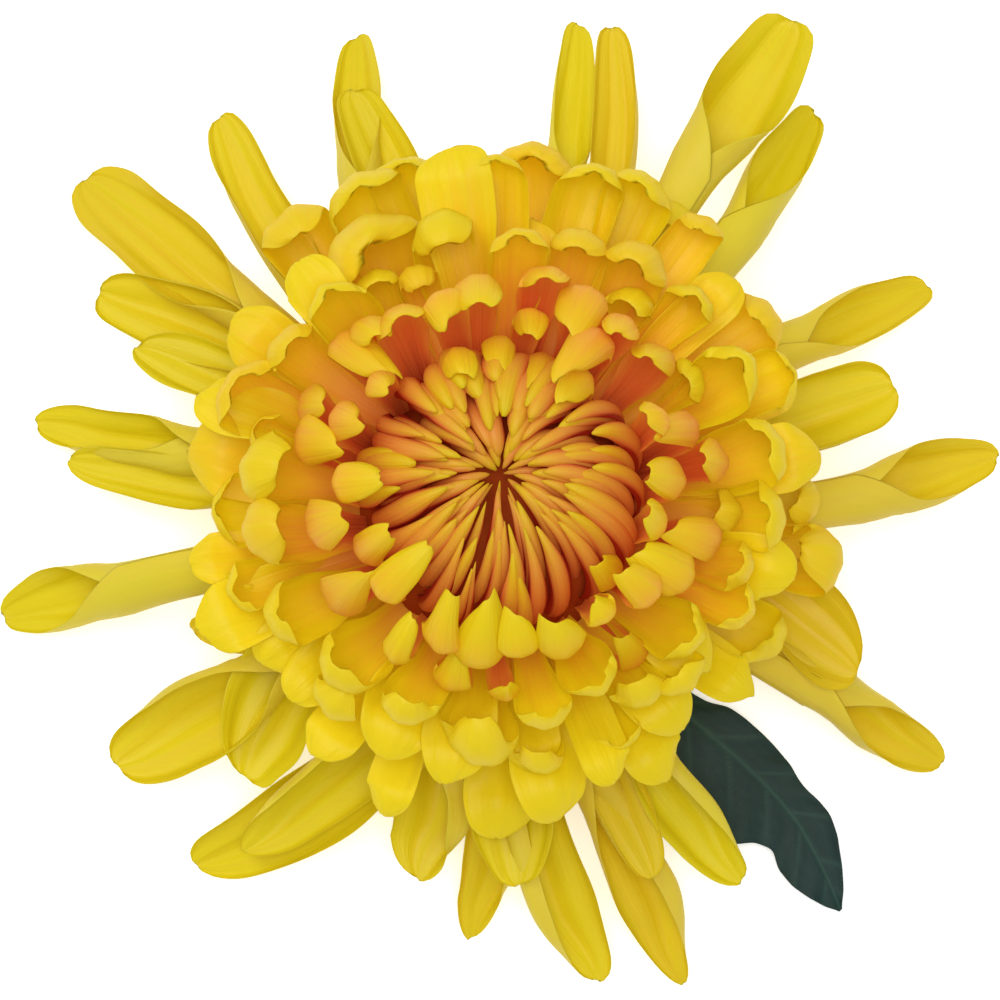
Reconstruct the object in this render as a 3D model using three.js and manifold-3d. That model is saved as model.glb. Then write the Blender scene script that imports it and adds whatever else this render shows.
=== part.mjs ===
// A disbud chrysanthemum: one large lemon-yellow bloom, cut close under its head,
// lying face up on its lowest rays with the one leaf below it. Millimetres, +Z up.

import * as THREE from 'three';
import { mergeVertices } from 'three/addons/utils/BufferGeometryUtils.js';
import Module from 'manifold-3d';

const wasm = await Module();
wasm.setup();

const DEG = Math.PI / 180;
const GOLDEN_ANGLE = 137.508;
const SEED = 20418;
const GAP = 0.3;

// Heights on the plant's own axis
const STEM_CUT_Z = 0.3;
const STEM_TOP_Z = 6.4;
const CALYX_TOP_Z = 16.3;
const DOME_TOP_Z = 45;

// Radii of what the rays grow from
const STEM_R = 2.7;
const CALYX_R = 12.2;
const DOME_R = 28;

// The hidden dome under the florets, as radius and height from its foot up to its crown
const DOME_PROFILE = [
  [0, CALYX_TOP_Z + GAP],
  [CALYX_R - 0.7, CALYX_TOP_Z + GAP],
  [17, 18],
  [24, 23],
  [DOME_R, 29],
  [26.8, 34],
  [21.5, 39.8],
  [12, 43.6],
  [0, DOME_TOP_Z],
];
const DOME_SIDES = 20;

// How the midline of a floret is drawn: pull of its two handles and steps of its two stretches
const ROOT_PULL = 0.42;
const SHOULDER_PULL = 0.36;
const RISE_STEPS = 24;
const CURL_STEPS = 8;
const CLAW_END = 0.25;
const BLADE_FULL = 0.95;
const WIDEST = 0.72;

// How a ray of each whorl grows: where it roots, how steeply it leaves, how it turns at its
// shoulder and how far its tip curls over. Angles are pitch from the horizontal, outward.
// The cup angles are half the arc of the cross-section, at the root, the middle and the tip.
const WHORLS = {
  guard: {
    rootR: 12, rootZ: 19.6, rootPitch: 16, shoulderPitch: -26, curl: -26, curlR: 0,
    claw: 0.62, cup: [88, 84, 52], blunt: 2.2, thick: 1.15, columns: 3,
    steps: [0, 0.28, 0.54, 0.78, 0.93],
  },
  rim: {
    rootR: 11, rootZ: 22, rootPitch: 34, shoulderPitch: 22, curl: 78, curlR: 6,
    claw: 0.36, cup: [60, 42, 48], blunt: 2.6, thick: 1.15, columns: 2,
    steps: [0, 0.4, 0.74, 0.92],
  },
  hood: {
    rootR: 10, rootZ: 24, rootPitch: 48, shoulderPitch: 60, curl: 152, curlR: 5,
    claw: 0.32, cup: [58, 52, 62], blunt: 2.4, thick: 1.15, columns: 2,
    steps: [0, 0.4, 0.7, 0.9],
  },
  block: {
    rootR: 9, rootZ: 26, rootPitch: 58, shoulderPitch: 72, curl: 165, curlR: 6,
    claw: 0.32, cup: [58, 56, 66], blunt: 2.0, thick: 1.15, columns: 2,
    steps: [0, 0.36, 0.68, 0.9],
  },
  heart: {
    rootR: 4, rootZ: 28, rootPitch: 74, shoulderPitch: 88, curl: 158, curlR: 11,
    claw: 0.6, cup: [52, 56, 60], blunt: 1.3, thick: 1.05, columns: 2,
    steps: [0, 0.45, 0.8],
  },
};

// Outermost rays: bearing in degrees, reach, tip height, breadth, sway of the root in degrees.
// A resting ray ends on the surface.
const RESTING = 1;
const SETTLE_PASSES = 5;
const GUARD_RAYS = [
  [106, 76.5, RESTING, 6.4, 5],
  [109, 67, 9, 9, -3],
  [81, 75.5, 5.5, 6.2, -2],
  [77, 75.5, 8.5, 6.8, 3],
  [60, 85, 10, 11.5, 4],
  [53, 77.5, 4, 7.6, 8],
  [30, 71, RESTING, 8, -5],
  [18, 59, 13, 10, 2],
  [8, 72.5, 5.5, 8.4, -8],
  [2, 55.5, 14.5, 8.6, 3],
  [336, 54, 14.5, 10.5, 9],
  [332, 72, RESTING, 8.4, 3],
  [335, 60, 11, 8, -4],
  [304, 61, 9, 8.4, 6],
  [292, 70, RESTING, 8.8, -3],
  [293, 54, 13, 7.6, -6],
  [282, 65.5, 5.5, 8.4, -3],
  [266, 58.5, RESTING, 7.8, 4],
  [273, 51, 14.5, 10.5, -2],
  [257, 51.5, 10, 9.6, 6],
  [228, 65, RESTING, 11.5, -12],
  [212, 64, 7, 11.5, -6],
  [226, 50.5, 13, 11, 8],
  [199, 46, 8.5, 6.4, 4],
  [195, 40.5, 22, 9.8, 3],
  [191, 72.5, RESTING, 8.6, 2],
  [171, 62.5, 7, 7, 6],
  [167, 69, 3, 7, -4],
  [155, 56.5, 16, 9, 4],
  [151, 66, 8.5, 9.4, -4],
  [140, 79, RESTING, 11.2, 3],
  [125, 72.5, 7, 7.4, -5],
];

// Broad outer florets: bearing, reach, height, breadth
const RIM_FLORETS = [
  [309, 40.5, 32, 8.2],
  [301, 43, 27, 8],
  [292, 40, 34, 8],
  [281, 42.5, 28, 9.4],
  [270, 44, 21, 9],
  [260, 38, 34, 8.8],
  [246, 37, 34, 8.6],
  [234, 41.5, 27, 8.4],
  [223, 38, 29, 8],
  [207, 40, 30, 8.4],
  [183, 39, 30, 8.6],
  [169, 43, 28, 9],
  [160, 42.5, 34, 9],
  [146, 44, 30, 9],
  [131, 41, 39, 7.6],
  [124, 47, 26, 9],
  [114, 48, 32, 10.5],
  [105, 49, 29, 9],
  [98, 48.5, 34, 8.4],
  [91, 46, 35, 9],
  [84, 51, 28, 10.4],
  [74, 47, 32, 8.4],
  [66, 48.5, 32, 8.4],
  [61, 49, 28, 9],
  [54, 47, 34, 7.6],
  [43, 43, 35, 8],
  [35, 44, 34, 8.4],
  [23, 42, 34, 8.6],
  [9, 43, 34, 8.4],
  [352, 45, 28, 8.4],
  [345, 40, 34, 7.8],
  [334, 41, 28, 9],
  [320, 37, 35, 8.2],
];

// Hooded florets standing round the middle
const HOOD_FLORETS = [
  [118, 39.5, 37, 12],
  [103, 37, 38, 9.6],
  [86, 32, 45, 6.6],
  [73, 35, 40, 8.4],
  [60, 36.5, 40, 8.2],
  [45, 36, 40, 6.8],
  [29, 35, 40, 7.6],
  [11, 35, 41, 9.4],
  [356, 35, 40, 8.6],
  [343, 32, 41, 7],
  [334, 34, 40, 7],
  [323, 30, 42, 7],
  [314, 33, 40, 7],
  [305, 31, 40, 6.8],
  [297, 27, 45, 6.4],
  [282, 29, 45, 7],
  [264, 32, 40, 9.4],
  [247, 30, 44, 8],
  [231, 34, 37, 7.6],
  [226, 30, 41, 7.4],
  [209, 32, 39, 7.6],
  [190, 31, 45, 8],
  [174, 31, 45, 8],
  [157, 36.5, 40, 10.8],
  [144, 34, 40, 7.6],
  [131, 33, 45, 8],
];

// Curled florets that close round the heart
const BLOCK_FLORETS = [
  [108, 24.5, 51, 6.4],
  [97, 26, 51, 7.2],
  [78, 28, 47, 6],
  [67, 27.5, 47, 6.4],
  [59, 22.5, 51, 5.2],
  [52, 26, 50, 6.2],
  [41, 26.5, 47, 6],
  [24, 21, 52, 5],
  [19, 25.5, 49, 5.4],
  [8, 28, 46, 6],
  [3, 22, 51, 5.8],
  [348, 20, 52, 5.4],
  [347, 27.5, 46, 6.6],
  [334, 25.5, 48, 6.4],
  [324, 23, 51, 6.4],
  [308, 20.5, 51, 5],
  [291, 21.5, 51, 6.6],
  [277, 20.5, 50, 4.8],
  [264, 21, 51, 7.4],
  [247, 20.5, 51, 5.2],
  [237, 24.5, 47, 5],
  [223, 19.5, 51, 5.2],
  [214, 24.5, 49, 6.8],
  [206, 18.5, 52, 6.6],
  [193, 23.5, 51, 8],
  [179, 19.5, 52, 7],
  [166, 25.5, 47, 5.6],
  [156, 22, 51, 5.4],
  [154, 27.5, 45, 5.8],
  [140, 20, 52, 4.8],
  [135, 28, 46, 6.2],
  [129, 27, 47, 5],
  [121, 25.5, 50, 7],
];

// How much the florets of a list differ from each other, in degrees
const SWAY_SPREAD = 8;
const ROLL_SPREAD = 14;

// The heart, set out by the golden angle from the middle outward
const HEART = {
  count: 40,
  innerTip: 1.6,
  outerTip: 14.5,
  lean: 6.9,
  innerZ: 47.5,
  outerZ: 52.5,
  innerBreadth: 2.2,
  outerBreadth: 4.8,
  sway: -16,
  bearingSpread: 6,
  reachSpread: 0.8,
  heightSpread: 1.2,
  rollSpread: 10,
};

// The cup from the stem up to the rays, and the rows of bracts on it: foot and tip as radius, height
const CALYX_PROFILE = [
  [0, STEM_TOP_Z + GAP],
  [3, STEM_TOP_Z + GAP],
  [5.6, 8],
  [9.6, 10.4],
  [CALYX_R - 0.6, 13.6],
  [CALYX_R - 0.4, CALYX_TOP_Z],
  [0, CALYX_TOP_Z],
];
const CALYX_SIDES = 18;
const BRACT_ROWS = [
  { count: 9, offset: 0, foot: [4.4, 7.2], tip: [10, 10.3], breadth: 3 },
  { count: 12, offset: 0.5, foot: [8.4, 9.6], tip: [12.5, 13.8], breadth: 3.4 },
  { count: 13, offset: 0.25, foot: [11, 12], tip: [12.9, CALYX_TOP_Z], breadth: 4 },
];
const BRACT_STEPS = [[0, 0.7], [0.5, 1], [0.82, 0.62]];
const BRACT_THICK = 1.2;
const BRACT_BOW = 1.6;

// The stem stub: height and swell of each ring, and the ribs round it
const STEM_RINGS = [[STEM_CUT_Z, 0.97], [STEM_CUT_Z + 0.5, 1], [4.4, 1], [STEM_TOP_Z, 1.12]];
const STEM_SIDES = 36;
const STEM_RIBS = 6;
const STEM_RIB = 0.16;

// The leaf by rows out from the stem: distance out, half-breadth on the left and on the right,
// sideways bend, height and thickness. The last row is the tip.
const LEAF_BEARING = 316 * DEG;
const LEAF_ROWS = [
  [STEM_R + 2 * GAP, 1.5, 1.5, 0, 5.1, 2.4],
  [5, 1.1, 1.1, 0, 4.9, 1.9],
  [10, 1, 1, 0, 4.3, 1.6],
  [16, 1.2, 1.3, 0, 3.9, 1.4],
  [19, 2.6, 2.4, 0, 3.7, 1.2],
  [22, 5.2, 4.6, 0, 3.6, 1.1],
  [24.5, 6.6, 6.2, 0, 3.5, 1.1],
  [27, 6.2, 6, 0, 3.4, 1.1],
  [29.5, 8.4, 4.4, 0, 3.3, 1.1],
  [32.5, 10.2, 4.2, 0, 3.3, 1.1],
  [35.5, 9.4, 2.6, -0.2, 3.2, 1.1],
  [38.5, 7.4, 3.4, -0.2, 3.2, 1.1],
  [41, 9.6, 4.7, 0, 3.1, 1.1],
  [44, 11.6, 5, 0.2, 3.1, 1.1],
  [47, 12.2, 5, 0.4, 3, 1.1],
  [50, 11.4, 4.9, 0.5, 2.9, 1.1],
  [53, 10.6, 4.6, 0.5, 2.8, 1.1],
  [55.3, 9, 4, 0.4, 2.7, 1.1],
  [57, 6.6, 3.9, 0.2, 2.6, 1.1],
  [59.6, 5.2, 4.3, -0.1, 2.5, 1.1],
  [62, 5.9, 4.8, -0.8, 2.4, 1.1],
  [65, 5.4, 4.2, -1.7, 2.3, 1.1],
  [68, 3.8, 3, -2.8, 2.1, 1.1],
  [70.6, 2, 1.7, -3.8, 1.8, 1],
  [72.6, 0, 0, -4.7, 1.5],
];
const RIB_COLUMN = 0.12;
const LEAF_COLUMNS = [-1, -0.72, -0.4, -RIB_COLUMN, 0, RIB_COLUMN, 0.4, 0.72, 1];
const LEAF_TROUGH = 0.06;
const LEAF_WAVE = 0.5;
const LEAF_WAVE_RATE = 0.42;
const MIDRIB_HALF = 0.9;
const MIDRIB_LIFT = 0.7;
const VEIN_LIFT = 0.3;
const VEIN_SPACING = 9;
const VEIN_SLANT = 1.1;
const VEIN_HALF = 0.2;

const UP = new THREE.Vector3(0, 0, 1);
const MERGE = 1e-4;

// How a floret thins to its tip, and where along it the part that the dome hides may end
const TIP_THINNING = 0.35;
const LATEST_START = 0.8;
const START_STEP = 0.02;
const SUNK_DEPTH = 0.08;

const PETAL_FINISH = { color: 0xd9c21c, roughness: 0.5, metalness: 0 };
const CALYX_FINISH = { color: 0x5e7a3a, roughness: 0.6, metalness: 0 };
const STEM_FINISH = { color: 0x56703f, roughness: 0.6, metalness: 0 };
const LEAF_FINISH = { color: 0x2b4642, roughness: 0.55, metalness: 0 };

function seededDraws(seed) {
  let state = seed >>> 0;
  return () => {
    state = (Math.imul(state, 1664525) + 1013904223) >>> 0;
    return state / 4294967296;
  };
}

function smooth(edge0, edge1, x) {
  const t = Math.min(Math.max((x - edge0) / (edge1 - edge0), 0), 1);
  return t * t * (3 - 2 * t);
}

function blend(values, s) {
  const place = s * (values.length - 1);
  const low = Math.min(Math.floor(place), values.length - 2);
  return THREE.MathUtils.lerp(values[low], values[low + 1], place - low);
}

// The floret's midline in its own upright plane, as radius and height: a rise from the root to
// the shoulder, then an arc that turns the tip over
function midline(whorl, floret) {
  const up = whorl.shoulderPitch * DEG;
  const end = whorl.curl * DEG;
  const leave = whorl.rootPitch * DEG;
  const root = new THREE.Vector2(whorl.rootR, whorl.rootZ);
  const shoulder = new THREE.Vector2(
    floret.reach - whorl.curlR * (1 - Math.sin(up)),
    floret.height - whorl.curlR * (Math.cos(up) - Math.cos(end)),
  );
  const span = root.distanceTo(shoulder);
  const rise = new THREE.CubicBezierCurve(
    root,
    new THREE.Vector2(Math.cos(leave), Math.sin(leave)).multiplyScalar(ROOT_PULL * span).add(root),
    new THREE.Vector2(Math.cos(up), Math.sin(up)).multiplyScalar(-SHOULDER_PULL * span).add(shoulder),
    shoulder,
  );
  const points = rise.getPoints(RISE_STEPS);
  for (let i = 1; whorl.curlR > 0 && i <= CURL_STEPS; i += 1) {
    const pitch = up + ((end - up) * i) / CURL_STEPS;
    points.push(new THREE.Vector2(
      shoulder.x + whorl.curlR * (Math.sin(pitch) - Math.sin(up)),
      shoulder.y + whorl.curlR * (Math.cos(up) - Math.cos(pitch)),
    ));
  }
  return points;
}

// Point and direction at a fraction of the midline's length
function along(points, fraction) {
  const lengths = [0];
  for (let i = 1; i < points.length; i += 1) {
    lengths.push(lengths[i - 1] + points[i].distanceTo(points[i - 1]));
  }
  const want = fraction * lengths[lengths.length - 1];
  let i = 1;
  while (i < points.length - 1 && lengths[i] < want) i += 1;
  const part = (want - lengths[i - 1]) / (lengths[i] - lengths[i - 1]);
  const point = points[i - 1].clone().lerp(points[i], part);
  const direction = points[i].clone().sub(points[i - 1]).normalize();
  return { point, direction };
}

// Half-breadth as a share of the floret's own: narrow claw, full blade, rounded or pointed tip
function outline(whorl, s) {
  const body = THREE.MathUtils.lerp(whorl.claw, 1, smooth(CLAW_END, BLADE_FULL, s));
  const toTip = Math.max(0, (s - WIDEST) / (1 - WIDEST));
  return body * Math.pow(1 - Math.pow(toTip, whorl.blunt), 1 / whorl.blunt);
}

// One cross-section of a floret: an arc cupped toward its inner face, thickest in the middle
function floretSection(whorl, floret, points, s) {
  const { point, direction } = along(points, s);
  const bearing = (floret.bearing + floret.sway * (1 - s) * (1 - s)) * DEG;
  const outward = new THREE.Vector3(Math.cos(bearing), Math.sin(bearing), 0);
  const side = new THREE.Vector3(-Math.sin(bearing), Math.cos(bearing), 0);
  const face = outward.clone().multiplyScalar(-direction.y).addScaledVector(UP, direction.x);
  const centre = outward.clone().multiplyScalar(point.x).addScaledVector(UP, point.y);
  side.applyAxisAngle(side.clone().cross(face).normalize(), floret.roll * DEG * s);
  face.copy(face.clone().projectOnPlane(side).normalize());
  const share = outline(whorl, s);
  const arc = blend(whorl.cup, s) * DEG;
  const radius = (0.5 * floret.breadth * share) / Math.sin(Math.min(arc, Math.PI / 2));
  const sink = 0.5 * radius * (1 - Math.cos(arc));
  const thick = whorl.thick * Math.min(1, TIP_THINNING + share);
  const rows = { inner: [], outer: [] };
  for (let j = 0; j <= whorl.columns; j += 1) {
    const u = (2 * j) / whorl.columns - 1;
    const angle = u * arc;
    const middle = centre.clone()
      .addScaledVector(side, radius * Math.sin(angle))
      .addScaledVector(face, radius * (1 - Math.cos(angle)) - sink);
    const normal = face.clone().multiplyScalar(Math.cos(angle))
      .addScaledVector(side, -Math.sin(angle));
    const bulge = 0.5 * thick * (1 - u * u);
    rows.inner.push(middle.clone().addScaledVector(normal, bulge));
    rows.outer.push(middle.clone().addScaledVector(normal, -bulge));
  }
  return rows;
}

// A closed blade through its sections to a tip, both faces split along the same diagonals
function bladeGeometry(sections, tipPoint) {
  const columns = sections[0].inner.length - 1;
  const ring = 2 * columns;
  const vertices = [];
  for (const rows of sections) {
    vertices.push(...rows.inner);
    for (let j = columns - 1; j > 0; j -= 1) vertices.push(rows.outer[j]);
  }
  vertices.push(tipPoint);
  const tip = vertices.length - 1;
  const last = (sections.length - 1) * ring;
  const triangles = [];
  for (let k = 0; k < last; k += ring) {
    for (let j = 0; j < ring; j += 1) {
      const a = k + j;
      const b = k + ((j + 1) % ring);
      if (j < columns) triangles.push(a, b, b + ring, a, b + ring, a + ring);
      else triangles.push(a, b, a + ring, b, b + ring, a + ring);
    }
  }
  for (let j = 0; j < ring; j += 1) triangles.push(last + j, last + ((j + 1) % ring), tip);
  for (let j = 0; j < columns; j += 1) {
    const c = j === 0 ? 0 : ring - j;
    if (j > 0) triangles.push(j + 1, j, c);
    if (j + 1 < columns) triangles.push(j + 1, c, ring - j - 1);
  }
  const geometry = new THREE.BufferGeometry().setFromPoints(vertices);
  geometry.setIndex(triangles);
  return geometry;
}

// Radius of the hidden dome at a height
function domeRadius(z) {
  for (let i = 1; i + 1 < DOME_PROFILE.length; i += 1) {
    const [lowR, lowZ] = DOME_PROFILE[i];
    const [highR, highZ] = DOME_PROFILE[i + 1];
    if (z >= lowZ && z <= highZ) return lowR + ((highR - lowR) * (z - lowZ)) / (highZ - lowZ);
  }
  return 0;
}

// Fraction of the midline that the dome hides, less what keeps the blade's foot well sunk in it
function sunkShare(points) {
  let s = 0;
  while (s < LATEST_START && along(points, s).point.x < domeRadius(along(points, s).point.y)) {
    s += START_STEP;
  }
  return Math.max(0, s - SUNK_DEPTH);
}

// A ray that the bloom rests on: its tip is raised or lowered until its lowest corner is on z 0
function settledRay(whorl, ray) {
  const settled = { ...ray };
  let geometry = floretGeometry(whorl, settled);
  for (let i = 0; i < SETTLE_PASSES; i += 1) {
    geometry.computeBoundingBox();
    settled.height -= geometry.boundingBox.min.z;
    geometry = floretGeometry(whorl, settled);
  }
  return geometry;
}

function floretGeometry(whorl, floret) {
  const points = midline(whorl, floret);
  const start = sunkShare(points);
  const sections = whorl.steps.map((step) => (
    floretSection(whorl, floret, points, start + (1 - start) * step)));
  const end = along(points, 1).point;
  const bearing = floret.bearing * DEG;
  return bladeGeometry(sections, new THREE.Vector3(
    end.x * Math.cos(bearing),
    end.x * Math.sin(bearing),
    end.y,
  ));
}

// A closed geometry as a solid, with shared corners merged and its faces turned outward
function solidOf(geometry) {
  const bare = geometry.clone();
  bare.deleteAttribute('normal');
  bare.deleteAttribute('uv');
  const merged = mergeVertices(bare, MERGE);
  const vertProperties = new Float32Array(merged.attributes.position.array);
  const corner = (i) => new THREE.Vector3().fromArray(vertProperties, 3 * i);
  const kept = [];
  let volume = 0;
  const index = merged.index.array;
  for (let i = 0; i < index.length; i += 3) {
    const [a, b, c] = index.slice(i, i + 3);
    if (a === b || b === c || c === a) continue;
    kept.push([a, b, c]);
    volume += corner(a).dot(corner(b).cross(corner(c)));
  }
  const triVerts = new Uint32Array(kept.flatMap(([a, b, c]) => (volume < 0 ? [a, c, b] : [a, b, c])));
  return new wasm.Manifold(new wasm.Mesh({ numProp: 3, vertProperties, triVerts }));
}

// Everything fused in one body: loose scraps and sealed hollows are left out
function fuse(geometries) {
  const whole = geometries.map(solidOf).reduce((sum, solid) => sum.add(solid));
  const bodies = whole.decompose();
  const largest = bodies.reduce((best, body) => (body.volume() > best.volume() ? body : best));
  const { vertProperties, triVerts } = largest.getMesh();
  const geometry = new THREE.BufferGeometry();
  geometry.setAttribute('position', new THREE.BufferAttribute(vertProperties, 3));
  geometry.setIndex(new THREE.BufferAttribute(triVerts, 1));
  geometry.computeVertexNormals();
  return geometry;
}

function lathed(profile, sides) {
  const points = profile.map(([r, z]) => new THREE.Vector2(r, z));
  return new THREE.LatheGeometry(points, sides).rotateX(Math.PI / 2);
}

function listed(rows, draw) {
  return rows.map(([bearing, reach, height, breadth, sway]) => ({
    bearing,
    reach,
    height,
    breadth,
    sway: sway ?? SWAY_SPREAD * (draw() - 0.5),
    roll: ROLL_SPREAD * (draw() - 0.5),
  }));
}

// The golden angle sets the heart's florets round, the square root of their number outward
function heartFlorets(draw) {
  const florets = [];
  for (let n = 0; n < HEART.count; n += 1) {
    const out = Math.sqrt((n + 0.5) / HEART.count);
    const tipR = THREE.MathUtils.lerp(HEART.innerTip, HEART.outerTip, out);
    florets.push({
      bearing: n * GOLDEN_ANGLE + HEART.bearingSpread * (draw() - 0.5),
      reach: tipR + HEART.lean + HEART.reachSpread * (draw() - 0.5),
      height: THREE.MathUtils.lerp(HEART.innerZ, HEART.outerZ, out)
        + HEART.heightSpread * (draw() - 0.5),
      breadth: THREE.MathUtils.lerp(HEART.innerBreadth, HEART.outerBreadth, out),
      sway: HEART.sway,
      roll: HEART.rollSpread * (draw() - 0.5),
    });
  }
  return florets;
}

function bloom() {
  const draw = seededDraws(SEED);
  const whorls = [
    [WHORLS.guard, listed(GUARD_RAYS, draw)],
    [WHORLS.rim, listed(RIM_FLORETS, draw)],
    [WHORLS.hood, listed(HOOD_FLORETS, draw)],
    [WHORLS.block, listed(BLOCK_FLORETS, draw)],
    [WHORLS.heart, heartFlorets(draw)],
  ];
  const pieces = [lathed(DOME_PROFILE, DOME_SIDES)];
  for (const [whorl, florets] of whorls) {
    for (const floret of florets) {
      const rests = floret.height === RESTING;
      pieces.push(rests ? settledRay(whorl, floret) : floretGeometry(whorl, floret));
    }
  }
  return named('bloom', fuse(pieces), PETAL_FINISH);
}

// The green cup under the rays, with its rows of small bracts lying against it
function calyx() {
  const pieces = [lathed(CALYX_PROFILE, CALYX_SIDES)];
  for (const row of BRACT_ROWS) {
    for (let n = 0; n < row.count; n += 1) {
      pieces.push(bractGeometry(row, ((n + row.offset) * 2 * Math.PI) / row.count));
    }
  }
  return named('calyx', fuse(pieces), CALYX_FINISH);
}

// One bract: a pointed blade from its foot on the cup out to its tip, sunk in by half
function bractGeometry(row, bearing) {
  const outward = new THREE.Vector3(Math.cos(bearing), Math.sin(bearing), 0);
  const side = new THREE.Vector3(-Math.sin(bearing), Math.cos(bearing), 0);
  const foot = outward.clone().multiplyScalar(row.foot[0]).addScaledVector(UP, row.foot[1]);
  const tip = outward.clone().multiplyScalar(row.tip[0]).addScaledVector(UP, row.tip[1]);
  const rise = tip.clone().sub(foot);
  const face = side.clone().cross(rise).normalize();
  const sections = BRACT_STEPS.map(([s, share]) => {
    const sag = -BRACT_BOW * s * (1 - s);
    const middle = foot.clone().addScaledVector(rise, s).addScaledVector(face, sag);
    const half = 0.5 * row.breadth * share;
    const edge = (u, lift) => middle.clone().addScaledVector(side, u * half).addScaledVector(face, lift);
    return {
      inner: [edge(-1, 0), edge(0, BRACT_THICK / 2), edge(1, 0)],
      outer: [edge(-1, 0), edge(0, -BRACT_THICK / 2), edge(1, 0)],
    };
  });
  return bladeGeometry(sections, tip);
}

// The cut stem: a ribbed stub, flared a little where it meets the cup
function stem() {
  const rings = STEM_RINGS.map(([z, swell]) => {
    const ring = [];
    for (let i = 0; i < STEM_SIDES; i += 1) {
      const turn = (2 * Math.PI * i) / STEM_SIDES;
      const radius = swell * (STEM_R + STEM_RIB * Math.cos(STEM_RIBS * turn));
      ring.push(new THREE.Vector3(radius * Math.cos(turn), radius * Math.sin(turn), z));
    }
    return ring;
  });
  const vertices = [new THREE.Vector3(0, 0, rings[0][0].z), ...rings.flat()];
  vertices.push(new THREE.Vector3(0, 0, rings[rings.length - 1][0].z));
  const triangles = [];
  for (let i = 0; i < STEM_SIDES; i += 1) {
    const next = (i + 1) % STEM_SIDES;
    triangles.push(0, 1 + next, 1 + i);
    for (let k = 0; k + 1 < rings.length; k += 1) {
      const low = 1 + k * STEM_SIDES;
      const high = low + STEM_SIDES;
      triangles.push(low + i, low + next, high + next, low + i, high + next, high + i);
    }
    const top = vertices.length - 1 - STEM_SIDES;
    triangles.push(top + i, top + next, vertices.length - 1);
  }
  const geometry = new THREE.BufferGeometry().setFromPoints(vertices);
  geometry.setIndex(triangles);
  return named('stem', fuse([geometry]), STEM_FINISH);
}

// Height of the vein net over the blade: the midrib stands out most, the side veins a little
function veinRelief(out, offset) {
  const side = Math.abs(offset);
  const midrib = MIDRIB_LIFT * Math.max(0, 1 - side / MIDRIB_HALF);
  const phase = ((out - VEIN_SLANT * side) / VEIN_SPACING) % 1;
  const vein = VEIN_LIFT * Math.max(0, 1 - Math.abs(phase - 0.5) / VEIN_HALF);
  return midrib + (side > MIDRIB_HALF ? vein : 0);
}

// The leaf: stalk and lobed blade in one piece, lying out from the stem under the rays
function leaf() {
  const outward = new THREE.Vector3(Math.cos(LEAF_BEARING), Math.sin(LEAF_BEARING), 0);
  const side = new THREE.Vector3(-Math.sin(LEAF_BEARING), Math.cos(LEAF_BEARING), 0);
  const at = (out, across, z) => outward.clone().multiplyScalar(out)
    .addScaledVector(side, across).addScaledVector(UP, z);
  const sections = LEAF_ROWS.slice(0, -1).map(([out, left, right, bend, height, thick]) => {
    const inner = [];
    const outer = [];
    for (const u of LEAF_COLUMNS) {
      const half = u < 0 ? left : right;
      const rib = Math.min(MIDRIB_HALF, 0.5 * half);
      const offset = Math.abs(u) === RIB_COLUMN ? Math.sign(u) * rib : u * half;
      const lift = height + LEAF_TROUGH * Math.abs(offset)
        + LEAF_WAVE * Math.sin(out * LEAF_WAVE_RATE + 2 * Math.sign(u)) * u * u;
      const body = Math.abs(u) === 1 ? 0 : 0.5 * thick;
      inner.push(at(out, bend + offset, lift + body + (body > 0 ? veinRelief(out, offset) / 2 : 0)));
      outer.push(at(out, bend + offset, lift - body - (body > 0 ? veinRelief(out, offset) : 0)));
    }
    return { inner, outer };
  });
  const [tipOut, , , tipBend, tipHeight] = LEAF_ROWS[LEAF_ROWS.length - 1];
  return named('leaf', fuse([bladeGeometry(sections, at(tipOut, tipBend, tipHeight))]), LEAF_FINISH);
}

function named(name, geometry, finish) {
  const mesh = new THREE.Mesh(geometry, new THREE.MeshStandardMaterial(finish));
  mesh.name = name;
  return mesh;
}

const chrysanthemum = new THREE.Group();
chrysanthemum.add(bloom(), calyx(), stem(), leaf());

// The origin is on the surface, under the middle of the whole outline
const extent = new THREE.Box3().setFromObject(chrysanthemum);
const middle = extent.getCenter(new THREE.Vector3());
chrysanthemum.position.set(-middle.x, -middle.y, -extent.min.z);

export default chrysanthemum;
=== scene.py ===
"""A yellow disbud chrysanthemum, lying face up on its lowest rays with its one leaf below it.

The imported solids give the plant's axis. This script replaces each of them with finer pieces: thin
cupped florets whorl by whorl, the green cup with its bracts, the ribbed stem with its cut end, and
the veined leaf. Most outer rays are aimed at the places where the photo shows them.
"""

import logging
import math
from dataclasses import dataclass, field, replace
from enum import Enum

import bpy
import numpy as np
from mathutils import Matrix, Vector


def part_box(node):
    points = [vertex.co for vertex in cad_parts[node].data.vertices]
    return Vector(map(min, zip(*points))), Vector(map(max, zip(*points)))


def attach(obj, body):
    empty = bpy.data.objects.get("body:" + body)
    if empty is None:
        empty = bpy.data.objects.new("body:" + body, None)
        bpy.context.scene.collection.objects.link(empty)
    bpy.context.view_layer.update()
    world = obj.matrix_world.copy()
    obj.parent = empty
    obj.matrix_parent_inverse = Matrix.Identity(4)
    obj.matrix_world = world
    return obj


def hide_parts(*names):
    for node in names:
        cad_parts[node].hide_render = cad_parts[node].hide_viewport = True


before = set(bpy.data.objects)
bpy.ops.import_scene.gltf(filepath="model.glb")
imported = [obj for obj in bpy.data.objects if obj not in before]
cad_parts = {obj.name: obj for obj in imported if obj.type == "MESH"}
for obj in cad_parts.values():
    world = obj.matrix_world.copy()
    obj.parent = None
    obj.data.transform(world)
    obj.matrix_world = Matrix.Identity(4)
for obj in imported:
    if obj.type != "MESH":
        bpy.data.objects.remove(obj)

LOG = logging.getLogger("chrysanthemum")
MM = 0.001
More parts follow.
